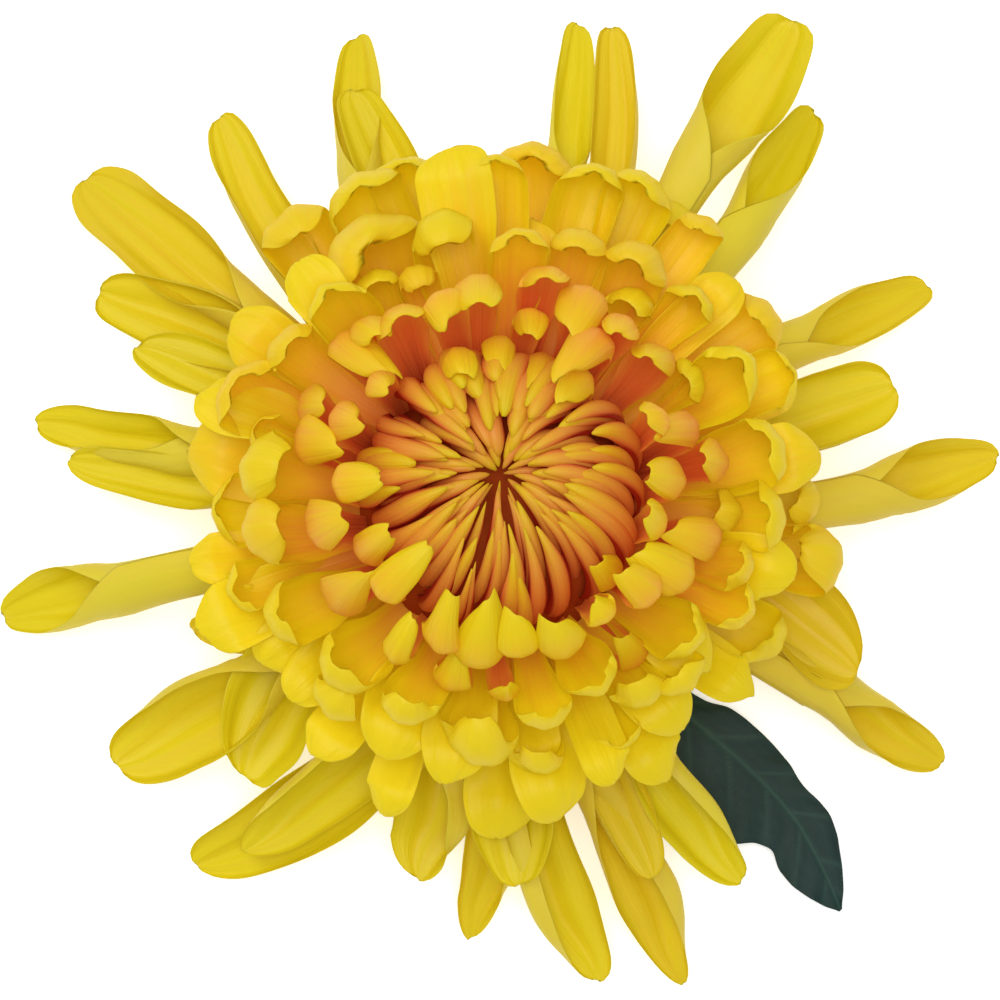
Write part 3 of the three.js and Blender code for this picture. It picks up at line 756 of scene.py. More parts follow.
@dataclass
class Bloom:
    """All the florets on their hidden dome."""

    plant: Plant
    view: View
    finish: PetalFinish = field(default_factory=PetalFinish)
    dome_profile: tuple = (
        (0, 17), (9, 17), (14, 19), (18.6, 23), (19, 27), (17.6, 32), (15.4, 37), (11.5, 40),
        (7, 41.4), (3.4, 41), (1.5, 39.6), (0, 39),
    )
    tongues: tuple = (0.36, 0.8)
    heart_count: int = 120
    heart_tip: tuple = (0.2, 11.5)
    heart_crowding: float = 1.6
    heart_lean: tuple = (0.0, 2.0, 0.0)
    heart_reach: tuple = (8.0, 19.0)
    heart_height: tuple = (46.5, 49.8)
    heart_waist: float = 36.0
    heart_breadth: tuple = (2.2, 4.7)
    heart_sway: float = -34.0
    heart_dimple: float = 2.2
    heart_dimple_r: float = 3.8
    heart_tip_droop: float = 0.9

    def build(self) -> None:
        """Builds every whorl and the dome."""
        draws = Draws(SEED)
        for whorl in Whorl:
            blades = Blades()
            for floret in self.florets(whorl, draws):
                self.raise_floret(whorl, floret, blades, draws)
            piece = blades.piece(whorl.value)
            material = self.finish.material("petal_" + whorl.value, GROWTH[whorl])
            dressed(piece, material, "bloom")
        self.build_dome()

    def florets(self, whorl: Whorl, draws: Draws) -> list[Floret]:
        """Lists the florets of a whorl.

        Args:
            whorl: which whorl.
            draws: the source of small differences.

        Returns:
            Its florets.
        """
        if whorl is Whorl.HEART:
            return self.heart(draws)
        rows = {
            Whorl.GUARD: GUARD_RAYS, Whorl.RIM: RIM_FLORETS,
            Whorl.HOOD: HOOD_FLORETS, Whorl.CURL: CURLED_FLORETS,
        }[whorl]
        growth = GROWTH[whorl]
        florets = []
        if whorl in FILLERS:
            rows = rows + self.fillers(FILLERS[whorl], draws)
        guard = whorl is Whorl.GUARD
        for row in rows:
            if guard:
                place, height, breadth, sway, opens, furl = row
            else:
                place, height, breadth, sway, opens, furl = Placed(*row[:2]), *row[2:], 0, 0, 0
            bearing, reach, swing = self.first_place(place, height)
            near = max(0, -math.sin(math.radians(bearing)))
            tongue = whorl is Whorl.RIM and draws.share() < self.tongues[0] + self.tongues[1] * near
            florets.append(Floret(
                bearing=bearing,
                reach=reach + growth.outward,
                height=height,
                breadth=breadth * growth.wider * (1 + (0 if guard else draws.about(0.3))),
                sway=sway if guard else draws.about(10),
                roll=draws.about(14 if guard else 44),
                fold=(draws.about(36) - growth.fold_pitch - 14 if tongue
                      else draws.about(2 * growth.jitter) * (0 if guard else 1)),
                turn=-2.5 if tongue else draws.about(1.3),
                puff=float(tongue),
                tone=draws.about(2) - (0 if guard else 2.4 * near),
                bow=draws.about(3) if guard else draws.about(2),
                opens=opens,
                swing=swing,
                furl=furl if guard else draws.about(80),
                rests=guard and height == RESTING_HEIGHT,
                seen=place if isinstance(place, Seen) else None,
            ))
        return florets

    def first_place(self, place: Seen | Placed, height: float) -> tuple[float, float, float]:
        """Returns a floret's bearing, reach and swing, as given or with its tip under the photo's."""
        if isinstance(place, Placed):
            return place.bearing, place.reach, place.swing
        x, y, _ = self.view.under(place.tip, height)
        return math.degrees(math.atan2(y, x)), math.hypot(x, y), 0.0

    def fillers(self, plan: Filler, draws: Draws) -> tuple:
        """Finds room for more florets between those that are listed.

        Args:
            plan: the ring to fill.
            draws: the source of small differences.

        Returns:
            Rows of bearing, reach, height and breadth.
        """
        listed = HOOD_FLORETS + CURLED_FLORETS + RIM_FLORETS
        taken = np.array([at_polar(row[0], row[1]) for row in listed])
        rows = []
        for number in range(plan.tries):
            share = (number + 0.5) / plan.tries
            bearing = number * GOLDEN_ANGLE + draws.about(10)
            reach = plan.inner + (plan.outer - plan.inner) * share
            spot = at_polar(bearing, reach)
            if min(np.linalg.norm(taken - spot, axis=1)) < plan.room:
                continue
            taken = np.vstack([taken, spot])
            height = float(np.interp(share, (0, 1), plan.height)) + draws.about(1.5)
            rows.append((bearing, reach, height, plan.breadth + draws.about(1.2)))
        LOG.info("%d more florets fit between %g and %g mm", len(rows), plan.inner, plan.outer)
        return tuple(rows)

    def heart(self, draws: Draws) -> list[Floret]:
        """Sets out the heart's florets by the golden angle, from the middle outward."""
        florets = []
        for number in range(self.heart_count):
            out = math.sqrt((number + 0.5) / self.heart_count)
            florets.append(Floret(
                bearing=number * GOLDEN_ANGLE + draws.about(14),
                reach=float(np.interp(out, (0, 1), self.heart_reach)) + draws.about(0.8),
                height=float(np.interp(out, (0, 1), self.heart_height)) + draws.about(1.8) * out,
                breadth=float(np.interp(out, (0, 1), self.heart_breadth)) * (1 + draws.about(0.5)),
                sway=self.heart_sway + draws.about(30),
                roll=draws.about(60),
                # Warmer toward the middle: painted shade where the heart lies deepest.
                tone=draws.about(3) + 2.2 - 2.9 * out,
                bow=draws.about(2.4),
                tip_r=float(np.interp(out ** self.heart_crowding, (0, 1), self.heart_tip))
                + draws.about(5) * out,
            ))
        return florets

    def midline(self, whorl: Whorl, floret: Floret) -> np.ndarray:
        """Draws a floret's midline in its own upright plane.

        Args:
            whorl: the floret's whorl.
            floret: the floret.

        Returns:
            Points of radius, height and place along the blade, from the root to the tip.
        """
        growth = GROWTH[whorl]
        bent = self.over_the_heart(floret) if whorl is Whorl.HEART else self.folded(growth, floret)
        up = math.radians(growth.shoulder_pitch + growth.level * floret.height)
        leave = math.radians(growth.root_pitch)
        root = np.array([growth.root_r, growth.root_z])
        shoulder = bent[0]
        span = np.linalg.norm(shoulder - root)
        first = root + RISE_HANDLES[0] * span * np.array([math.cos(leave), math.sin(leave)])
        second = shoulder - RISE_HANDLES[1] * span * np.array([math.cos(up), math.sin(up)])
        t = np.linspace(0, 1, CURVE_POINTS)[:, None]
        rise = ((1 - t) ** 3 * root + 3 * (1 - t) ** 2 * t * first
                + 3 * (1 - t) * t ** 2 * second + t ** 3 * shoulder)
        line = np.concatenate([rise, bent[1:]])
        steps = np.concatenate([[0], np.cumsum(np.linalg.norm(np.diff(line, axis=0), axis=1))])
        steps /= steps[-1]
        folds = whorl in FILLERS
        pace = np.interp(steps, (0, steps[len(rise) - 1], 1), (0, FOLDS_AT, 1)) if folds else steps
        return np.column_stack([line, pace])

    def folded(self, growth: Growth, floret: Floret) -> np.ndarray:
        """Draws the tight turn and the lip beyond a floret's shoulder.

        Args:
            growth: how its whorl grows.
            floret: the floret.

        Returns:
            Points of radius and height, the shoulder first.
        """
        point = np.zeros(2)
        path = [point]
        start = growth.shoulder_pitch
        fold = growth.fold_pitch + floret.fold
        lip = growth.lip_turn * (1 + floret.turn)
        for begin, end, radius in (
            (start, fold, growth.fold_r * floret.breadth),
            (fold, fold + lip, growth.lip_r * floret.breadth),
        ):
            if radius == 0:
                continue
            radius = math.copysign(radius, end - begin)
            pitch = np.radians(np.linspace(begin, end, TURN_POINTS))
            arc = radius * np.stack([np.sin(pitch), -np.cos(pitch)], -1)
            path += list(point + arc[1:] - arc[0])
            point = path[-1]
        path = np.array(path)
        return path + np.array([floret.reach, floret.height]) - np.maximum(path.max(0), 0)

    def over_the_heart(self, floret: Floret) -> np.ndarray:
        """Draws a heart floret's way up and over the closed heart, from its waist to its tip."""
        end = math.acos(min(0.98, max(0.02, floret.tip_r / floret.reach)))
        turn = np.linspace(0, end, CURVE_POINTS)
        radius = floret.reach * np.cos(turn)
        height = self.heart_waist + (floret.height - self.heart_waist) * np.sin(turn)
        height -= self.heart_dimple * np.exp(-((radius / self.heart_dimple_r) ** 2))
        height -= self.heart_tip_droop * np.linspace(0, 1, CURVE_POINTS) ** 8
        return np.stack([radius, height], -1)

    def raise_floret(self, whorl: Whorl, floret: Floret, blades: Blades, draws: Draws) -> None:
        """Builds one floret and adds it to its whorl's blades.

        Args:
            whorl: the floret's whorl.
            floret: the floret.
            blades: where it is added.
            draws: the source of small differences.
        """
        look = [draws.share() for _ in range(8)]
        if floret.seen:
            self.aim(floret, look)
        inner, outer, place, mood = self.settled(whorl, floret, look)
        for face in (inner, outer):
            face[..., 2] = np.maximum(face[..., 2], 0)
        shift = np.array(self.plant.foot)
        blades.add(inner + shift, outer + shift, place, mood)

    def aim(self, ray: Floret, look: list[float]) -> None:
        """Stretches, turns and swings a ray until it shows where the photo has it.

        Each pass moves the tip to its pixel, then swings the ray so that the middle of its
        drawn outline passes through the middle's pixel. The result is kept to a tenth of a
        millimetre or degree, which is finer than the pixels were read.

        Args:
            ray: the ray, whose bearing, reach and swing are set.
            look: its own random shares.
        """
        trial = replace(ray)
        tip, middle = np.array(ray.seen.tip, float), np.array(ray.seen.middle, float)
        for _ in range(AIM_PASSES):
            inner, outer, _, _ = self.settled(Whorl.GUARD, trial, look)
            grid = self.view.picture(0.5 * (inner + outer))
            line = 0.5 * (grid[:, 0] + grid[:, -1])
            turn = math.radians(trial.bearing)
            sideways = np.array([-math.sin(turn), -math.cos(turn)])
            gap = (tip - line[-1]) / self.view.scale
            trial.reach += TIP_STEP * float(gap @ (math.cos(turn), -math.sin(turn)))
            trial.bearing += TIP_STEP * math.degrees(gap @ sideways / trial.reach)
            axis = line[-1] - line[len(line) // 2]
            axis /= np.linalg.norm(axis)
            cross = np.array([-axis[1], axis[0]])
            nearest = np.abs((grid - middle) @ axis).argmin(0)
            beside = ((grid - middle) @ cross)[nearest, np.arange(grid.shape[1])]
            off = 0.5 * (beside.min() + beside.max())
            arm = np.linalg.norm(middle - self.view.picture(np.array([0, 0, trial.height])))
            span = np.linalg.norm(line[-1] - middle) / self.view.scale
            blade = max(SHORTEST_BLADE, trial.reach - GROWTH[Whorl.GUARD].root_r)
            share = np.clip(span / blade, *MIDDLE_SHARES)
            swing = SWING_STEP * math.copysign(1, cross @ sideways) * math.degrees(off / arm) / share
            trial.swing = float(np.clip(trial.swing - swing, -WIDEST_SWING, WIDEST_SWING))
        ray.bearing, ray.reach, ray.swing = (
            round(value, 1) for value in (trial.bearing % 360, trial.reach, trial.swing))

    def settled(self, whorl: Whorl, floret: Floret, look: list[float]) -> tuple[np.ndarray, ...]:
        """Works out a floret's surface, first lowering one that rests until it touches the floor."""
        faces = self.surface(whorl, floret, look)
        for _ in range(SETTLE_PASSES if floret.rests else 0):
            floret.height -= min(faces[0][..., 2].min(), faces[1][..., 2].min())
            faces = self.surface(whorl, floret, look)
        return faces

    def surface(self, whorl: Whorl, floret: Floret, look: list[float]) -> tuple[np.ndarray, ...]:
        """Works out both faces of a floret.

        Args:
            whorl: the floret's whorl.
            floret: the floret.
            look: its own random shares.

        Returns:
            Inner and outer face points, the place along and across, and the tone and warmth.
        """
        growth = GROWTH[whorl]
        line = self.midline(whorl, floret)
        steps = line[:, 2]
        v = np.append(np.linspace(0, 0.997, growth.rows) ** 0.75, 1)
        u = np.concatenate([[-1], np.linspace(-0.975, 0.975, growth.columns - 1), [1]])
        v, u = np.meshgrid(v, u, indexing="ij")
        cut = growth.notch * (0.5 + 0.5 * np.cos(u * (4 + 3 * look[0]) + 6 * look[1]))
        tilt = 2 * look[2] - 1
        cut = cut + 0.5 * growth.slant * (abs(tilt) + tilt * u)
        s = v * (1 - cut * v ** 3)
        radius = np.interp(s, steps, line[:, 0])
        height = np.interp(s, steps, line[:, 1])
        ahead, behind = np.minimum(s + SLOPE_STEP, 1), np.maximum(s - SLOPE_STEP, 0)
        run = np.interp(ahead, steps, line[:, 0]) - np.interp(behind, steps, line[:, 0])
        rise = np.interp(ahead, steps, line[:, 1]) - np.interp(behind, steps, line[:, 1])
        size = np.hypot(run, rise)
        run, rise = run / size, rise / size
        bearing = np.radians(floret.bearing + floret.sway * (1 - s) ** 2 + floret.swing * (1 - s))
        outward, side = directions(bearing)
        face = outward * -rise[..., None] + UPWARD * run[..., None]
        centre = outward * radius[..., None] + UPWARD * height[..., None]
        roll = np.radians(floret.roll) * s[..., None]
        side, face = (side * np.cos(roll) + face * np.sin(roll),
                      face * np.cos(roll) - side * np.sin(roll))
        centre = centre + side * (floret.bow * np.sin(math.pi * s))[..., None]
        if whorl is Whorl.HEART:
            centre = centre + np.array(self.heart_lean) * smooth(0.2, 1, s)[..., None]
        across, lift, lean = self.section(growth, floret, s, v, u, look)
        middle = centre + side * across[..., None] + face * lift[..., None]
        normal = face * np.cos(lean)[..., None] - side * np.sin(lean)[..., None]
        blade = smooth(0.35, 0.65, s) * (1 - smooth(0.9, 1.0, s))
        crinkle = np.sin(s * (14 + 8 * look[3]) + 9 * look[4]) * np.abs(u) ** 2.4
        middle = middle + normal * (0.035 * floret.breadth * blade * crinkle)[..., None]
        bulge = 0.5 * growth.thick * (1 - 0.65 * u ** 2) * (1 - 0.6 * v ** 8)
        bulge = bulge * np.sqrt((1 - u ** 16) * np.maximum(0, 1 - v ** 60))
        inner = middle + normal * bulge[..., None]
        outer = middle - normal * bulge[..., None]
        warm = np.interp(s, growth.warmth_at, growth.warmth)
        # Painted shade on the warmth: margins kept lemon over a warmer cup, and in the heart redder
        # margins that darken the gaps between florets.
        warm = warm * (1 - growth.margin_fade * smooth(0.3, 0.6, s) * smooth(0.4, 1, np.abs(u)))
        mood = np.dstack([np.full_like(s, floret.tone), warm, np.full_like(s, look[0])])
        return inner, outer, np.dstack([s, u]), mood

    def section(
        self, growth: Growth, floret: Floret, s: np.ndarray, v: np.ndarray, u: np.ndarray,
        look: list[float],
    ) -> tuple[np.ndarray, np.ndarray, np.ndarray]:
        """Works out the cross-sections of a floret by following how they lean from edge to edge.

        Args:
            growth: how its whorl grows.
            floret: the floret.
            s: how far along each point is.
            v: the same before its tip is trimmed.
            u: how far across each point is.
            look: its own random shares.

        Returns:
            How far each point lies to the side and above the midline, and how far it leans.
        """
        cup = self.cup(growth, floret, s, look)
        arc = np.radians(cup)
        open_share = smooth(0.4, 0.7, s) * (1 - smooth(70, 140, cup))
        sharper = 0.7 + 0.6 * look[7] if growth.fold_r else 1
        lean = arc * np.sign(u) * np.abs(u) ** (growth.keel * sharper)
        margin = smooth(0.5, 1.0, np.abs(u)) * smooth(growth.inroll_at, growth.inroll_at + 0.25, s)
        lean = lean + np.sign(u) * np.radians(growth.inroll) * margin
        furl = np.maximum(0, floret.furl * np.sign(u)) * smooth(0.3, 0.55, s) * (1 - smooth(0.78, 1, s))
        lean = lean + np.sign(u) * np.radians(furl) * smooth(0.15, 0.85, np.abs(u))
        flutes = 2.5 + 2 * look[5]
        lean = lean + open_share * growth.flutes * np.sin(flutes * math.pi * u + 6 * look[6])
        spiral = 0.22 * math.copysign(1, floret.furl) * smooth(100, 170, cup)
        step = np.diff(u, axis=1) * (1 + 0.5 * (spiral * u)[:, 1:] + 0.5 * (spiral * u)[:, :-1])
        middle_lean = 0.5 * (lean[:, 1:] + lean[:, :-1])
        zero = np.zeros((u.shape[0], 1))
        across = np.concatenate([zero, np.cumsum(np.cos(middle_lean) * step, axis=1)], axis=1)
        lift = np.concatenate([zero, np.cumsum(np.sin(middle_lean) * step, axis=1)], axis=1)
        wide = np.max(across, axis=1, keepdims=True) - np.min(across, axis=1, keepdims=True)
        scale = floret.breadth * self.outline(growth, floret, v, look) / np.maximum(wide, 0.4)
        centre = u.shape[1] // 2
        across = (across - 0.5 * (across[:, :1] + across[:, -1:])) * scale
        lift = (lift - lift[:, centre:centre + 1]) * scale
        lift = lift - 0.35 * np.max(lift, axis=1, keepdims=True)
        return across, lift, lean

    def cup(self, growth: Growth, floret: Floret, s: np.ndarray, look: list[float]) -> np.ndarray:
        """Returns half the turn of the cross-section along a floret, in degrees."""
        at = np.array(growth.cup_at)
        if floret.opens:
            shift = floret.opens - 0.5
            at = np.array([0, 0.42 + shift, 0.62 + shift * 0.8, 0.85 + 0.3 * shift, 1])
        cup = np.interp(s, at, growth.cup) * (1 - 1.5 * floret.puff * smooth(0.5, 0.85, s))
        return cup * (1 + 0.3 * (look[1] - 0.5) * (1 - smooth(90, 150, cup)))

    def outline(self, growth: Growth, floret: Floret, s: np.ndarray, look: list[float]) -> np.ndarray:
        """Returns the breadth along a floret, as a share of its greatest."""
        start, claw, full = growth.claw_end, growth.claw, growth.full
        if floret.opens:
            start = 0.5 * floret.opens + 0.18
            claw = min(0.86, QUILL_BREADTH / floret.breadth)
            full = min(0.92, start + 0.34)
        body = (claw + (1 - claw) * smooth(start, full, s)) * (0.7 + 0.3 * smooth(0, 0.4, s))
        to_tip = np.clip((s - growth.widest) / (1 - growth.widest), 0, 1)
        end = growth.end * (0.4 + 1.2 * look[2])
        blunt = growth.blunt * (0.85 + 0.3 * look[6] + 0.25 * math.sin(math.radians(floret.bearing)))
        blunt += 0.14 * max(0, floret.breadth - 9)
        tip = (1 - to_tip ** blunt) ** (1 / blunt)
        return body * (tip * (1 - end) + end)

    def build_dome(self) -> None:
        """Builds the hidden dome that the florets grow on, red-brown as painted shade in the gaps
        between their roots.
        """
        dome = lathed("receptacle", self.dome_profile, 48, self.plant, (0.1, 0.0, 0.0))
        nodes = Nodes.fresh("receptacle_painted_gap_shade")
        nodes.coat(self.finish.shade, roughness=0.9, shine=0.1)
        dressed(dome, nodes.material, "bloom")


@dataclass(frozen=True)
class CalyxFinish:
    """Matt green cup whose bracts have thin papery brown edges."""

    green: tuple = linear(88, 112, 62)
    deep: tuple = linear(54, 78, 44)
    paper: tuple = linear(150, 124, 84)
    roughness: float = 0.62

    def material(self) -> bpy.types.Material:
        """Makes the cup's material."""
        nodes = Nodes.fresh("calyx_green")
        along, across, _ = nodes.attribute("petal")
        vector = nodes.combined(
            nodes.number("MULTIPLY", across, 8.0), nodes.number("MULTIPLY", along, 3.0), 0.0)
        mottle = nodes.noise(vector, 1.0, 4.0)
        colour = nodes.mixed(mottle, self.green, self.deep)
        edge = nodes.number("POWER", nodes.number("ABSOLUTE", across), 8.0)
        colour = nodes.mixed(edge, colour, self.paper)
        nodes.coat(colour, self.roughness)
        nodes.bump(mottle, 0.4, 0.0002)
        return nodes.material


@dataclass
class Calyx:
    """The green cup under the bloom, with its overlapping bracts."""

    plant: Plant
    finish: CalyxFinish = field(default_factory=CalyxFinish)
    profile: tuple = (
        (0, 6.7), (3, 6.7), (4.2, 7.1), (5.6, 8), (7.6, 9.2), (9.6, 10.4), (10.8, 11.9),
        (11.6, 13.6), (11.8, 15.2), (11.8, 16.2), (0, 16.2),
    )
    bract_rows: tuple = (
        (9, 0.0, (4.4, 7.2), (10.0, 10.3), 3.4),
        (12, 0.5, (8.4, 9.6), (12.5, 13.8), 3.8),
        (13, 0.25, (11.0, 12.0), (12.9, 16.2), 4.4),
    )

    def build(self) -> None:
        """Builds the cup and its bracts."""
        blades = Blades()
        for count, offset, foot, tip, breadth in self.bract_rows:
            for number in range(count):
                self.add_bract(blades, 2 * math.pi * (number + offset) / count, foot, tip, breadth)
        material = self.finish.material()
        dressed(blades.piece("bracts"), material, "calyx")
        cup = lathed("cup", self.profile, 64, self.plant, (0.5, 0.0, 0.0))
        dressed(cup, material, "calyx")

    def add_bract(self, blades: Blades, bearing: float, foot: tuple, tip: tuple, breadth: float) -> None:
        """Adds one pointed bract that lies against the cup.

        Args:
            blades: where it is added.
            bearing: its direction from the axis, in radians.
            foot: radius and height of its foot.
            tip: radius and height of its tip.
            breadth: its greatest breadth.
        """
        v, u = np.meshgrid(np.linspace(0, 1, 15), np.linspace(-1, 1, 9), indexing="ij")
        outward, side = directions(bearing)
        start = outward * foot[0] + UPWARD * foot[1]
        rise = outward * tip[0] + UPWARD * tip[1] - start
        face = unit(np.cross(rise, side))
        half = 0.5 * breadth * np.sqrt(np.maximum(0, 1 - v ** 3)) * (0.62 + 0.6 * v * (1 - v))
        bulge = 0.9 * v * (1 - v) + 0.35 * (1 - u ** 2) * (1 - v ** 4)
        middle = (start + rise * v[..., None] + side * (u * half)[..., None]
                  + face * bulge[..., None])
        thick = 0.22 * np.sqrt(np.maximum(0, 1 - u ** 4) * np.maximum(0, 1 - v ** 8))
        shift = np.array(self.plant.foot)
        lift = face * thick[..., None]
        blades.add(middle - lift + shift, middle + lift + shift, np.dstack([v, u]), np.zeros((15, 9, 3)))


@dataclass(frozen=True)
class StemFinish:
    """Green ribbed skin and a pale cut end with a darker ring."""

    skin: tuple = linear(86, 110, 58)
    rib: tuple = linear(128, 148, 88)
    pith: tuple = linear(206, 208, 164)
    ring: tuple = linear(120, 136, 78)
    roughness: float = 0.58

    def material(self) -> bpy.types.Material:
        """Makes the stem's material."""
        nodes = Nodes.fresh("stem_green")
        along, out, ribbed = nodes.attribute("petal")
        skin = nodes.mixed(ribbed, self.skin, self.rib)
        rings = ((0.0, self.pith), (0.62, self.pith), (0.74, self.ring), (0.95, self.skin))
        cut = nodes.ramp(out, rings)
        end = nodes.number("LESS_THAN", along, 0.01)
        colour = nodes.mixed(end, skin, cut)
        nodes.coat(colour, self.roughness)
        geometry = nodes.add("TexCoord")
        nodes.bump(nodes.noise(geometry.outputs["Object"], 1800.0, 3.0), 0.3, 0.00015)
        return nodes.material


@dataclass
class Stem:
    """The short stub of ribbed stem with its cut end."""

    plant: Plant
    finish: StemFinish = field(default_factory=StemFinish)
    radius: float = 2.7
    ribs: int = 6
    rib_height: float = 0.17
    sides: int = 96
    rings: tuple = (
        (0.3, 0.93), (0.4, 0.97), (0.7, 1.0), (1.6, 1.0), (2.6, 0.99), (3.6, 1.0), (4.4, 1.0),
        (5.0, 1.03), (5.6, 1.08), (6.4, 1.12),
    )

    def build(self) -> None:
        """Builds the stub from its cut end up to the cup."""
        turns = np.linspace(0, 2 * math.pi, self.sides, endpoint=False)
        wave = np.cos(self.ribs * turns)
        radius = self.radius + self.rib_height * np.sign(wave) * np.abs(wave) ** 0.6
        low = self.rings[0][0]
        points, looks = [(0.0, 0.0, low)], [(0.0, 0.0, 0.0)]
        for share in (0.35, 0.62, 0.7, 0.82):
            reach = radius * share * self.rings[0][1]
            points += self.ring(reach, turns, low)
            looks += [(0.0, share, 0.0)] * self.sides
        for number, (height, swell) in enumerate(self.rings):
            reach = radius * swell
            points += self.ring(reach, turns, height)
            along = 0.0 if number == 0 else 0.1 + 0.9 * number / len(self.rings)
            looks += [(along, 1.0, 0.5 + 0.5 * w) for w in wave]
        points.append((0.0, 0.0, self.rings[-1][0]))
        looks.append((1.0, 1.0, 0.0))
        piece = turned("stem_stub", points, looks, self.sides, self.plant)
        dressed(piece, self.finish.material(), "stem")

    def ring(self, reach: np.ndarray, turns: np.ndarray, height: float) -> list[tuple]:
        """Returns the points of one level ring."""
        return list(zip(reach * np.cos(turns), reach * np.sin(turns), np.full(self.sides, height)))


def turned(name: str, points: list, looks: list, sides: int, plant: Plant) -> bpy.types.Object:
    """Makes a closed body from rings of points with a middle point at each end.

    Args:
        name: the object's name.
        points: the first middle, the rings in turn, then the last middle, in mm.
        looks: the petal attribute of each point.
        sides: how many points a ring has.
        plant: where the axis stands.

    Returns:
        The new object, linked to the scene.
    """
    count = (len(points) - 2) // sides
    faces = []
    for i in range(sides):
        j = (i + 1) % sides
        faces.append((0, 1 + j, 1 + i))
        for k in range(count - 1):
            low, high = 1 + k * sides, 1 + (k + 1) * sides
            faces.append((low + i, low + j, high + j, high + i))
        last = 1 + (count - 1) * sides
        faces.append((last + i, last + j, len(points) - 1))
    looks = {"petal": np.array(looks), "mood": np.tile(TURNED_MOOD, (len(points), 1))}
    return meshed(name, np.array(points, float) + np.array(plant.foot), faces, looks)


def lathed(name: str, profile: tuple, sides: int, plant: Plant, look: tuple) -> bpy.types.Object:
    """Turns a profile round the plant's axis.

    Args:
        name: the object's name.
        profile: radius and height pairs, first and last on the axis.
        sides: how many sides it has.
        plant: where the axis stands.
        look: the petal attribute of all its points.

    Returns:
        The new object, linked to the scene.
    """
    turns = np.linspace(0, 2 * math.pi, sides, endpoint=False)
    points = [(0.0, 0.0, profile[0][1])]
    for radius, height in profile[1:-1]:
        points += [(radius * math.cos(a), radius * math.sin(a), height) for a in turns]
    points.append((0.0, 0.0, profile[-1][1]))
    return turned(name, points, [look] * len(points), sides, plant)


@dataclass(frozen=True)
class LeafFinish:
    """Dark blue-green leaf with slightly lighter veins and a soft waxy shine."""

    blade: tuple = linear(32, 58, 54)
    shade: tuple = linear(18, 38, 34)
    vein: tuple = linear(52, 84, 72)
    roughness: float = 0.6

    def material(self) -> bpy.types.Material:
        """Makes the leaf's material."""
        nodes = Nodes.fresh("leaf_green")
        along, across, side = nodes.attribute("petal")
        vein, _, _ = nodes.attribute("mood")
        where = nodes.combined(
            nodes.number("MULTIPLY", along, 8.0), nodes.number("MULTIPLY", across, 3.0), 0.0)
        colour = nodes.mixed(nodes.noise(where, 1.0, 4.0), self.blade, self.shade)
        colour = nodes.mixed(nodes.number("MULTIPLY", vein, 0.5), colour, self.vein)
        pale = nodes.number("MULTIPLY", side, 0.3)
        colour = nodes.mixed(pale, colour, self.vein)
        nodes.coat(colour, self.roughness, shine=0.25)
        geometry = nodes.add("TexCoord")
        net = nodes.add("TexVoronoi", feature="DISTANCE_TO_EDGE")
        net.inputs["Scale"].default_value = 620.0
        nodes.link(geometry.outputs["Object"], net.inputs["Vector"])
        nodes.bump(net.outputs["Distance"], 0.25, 0.0003)
        return nodes.material


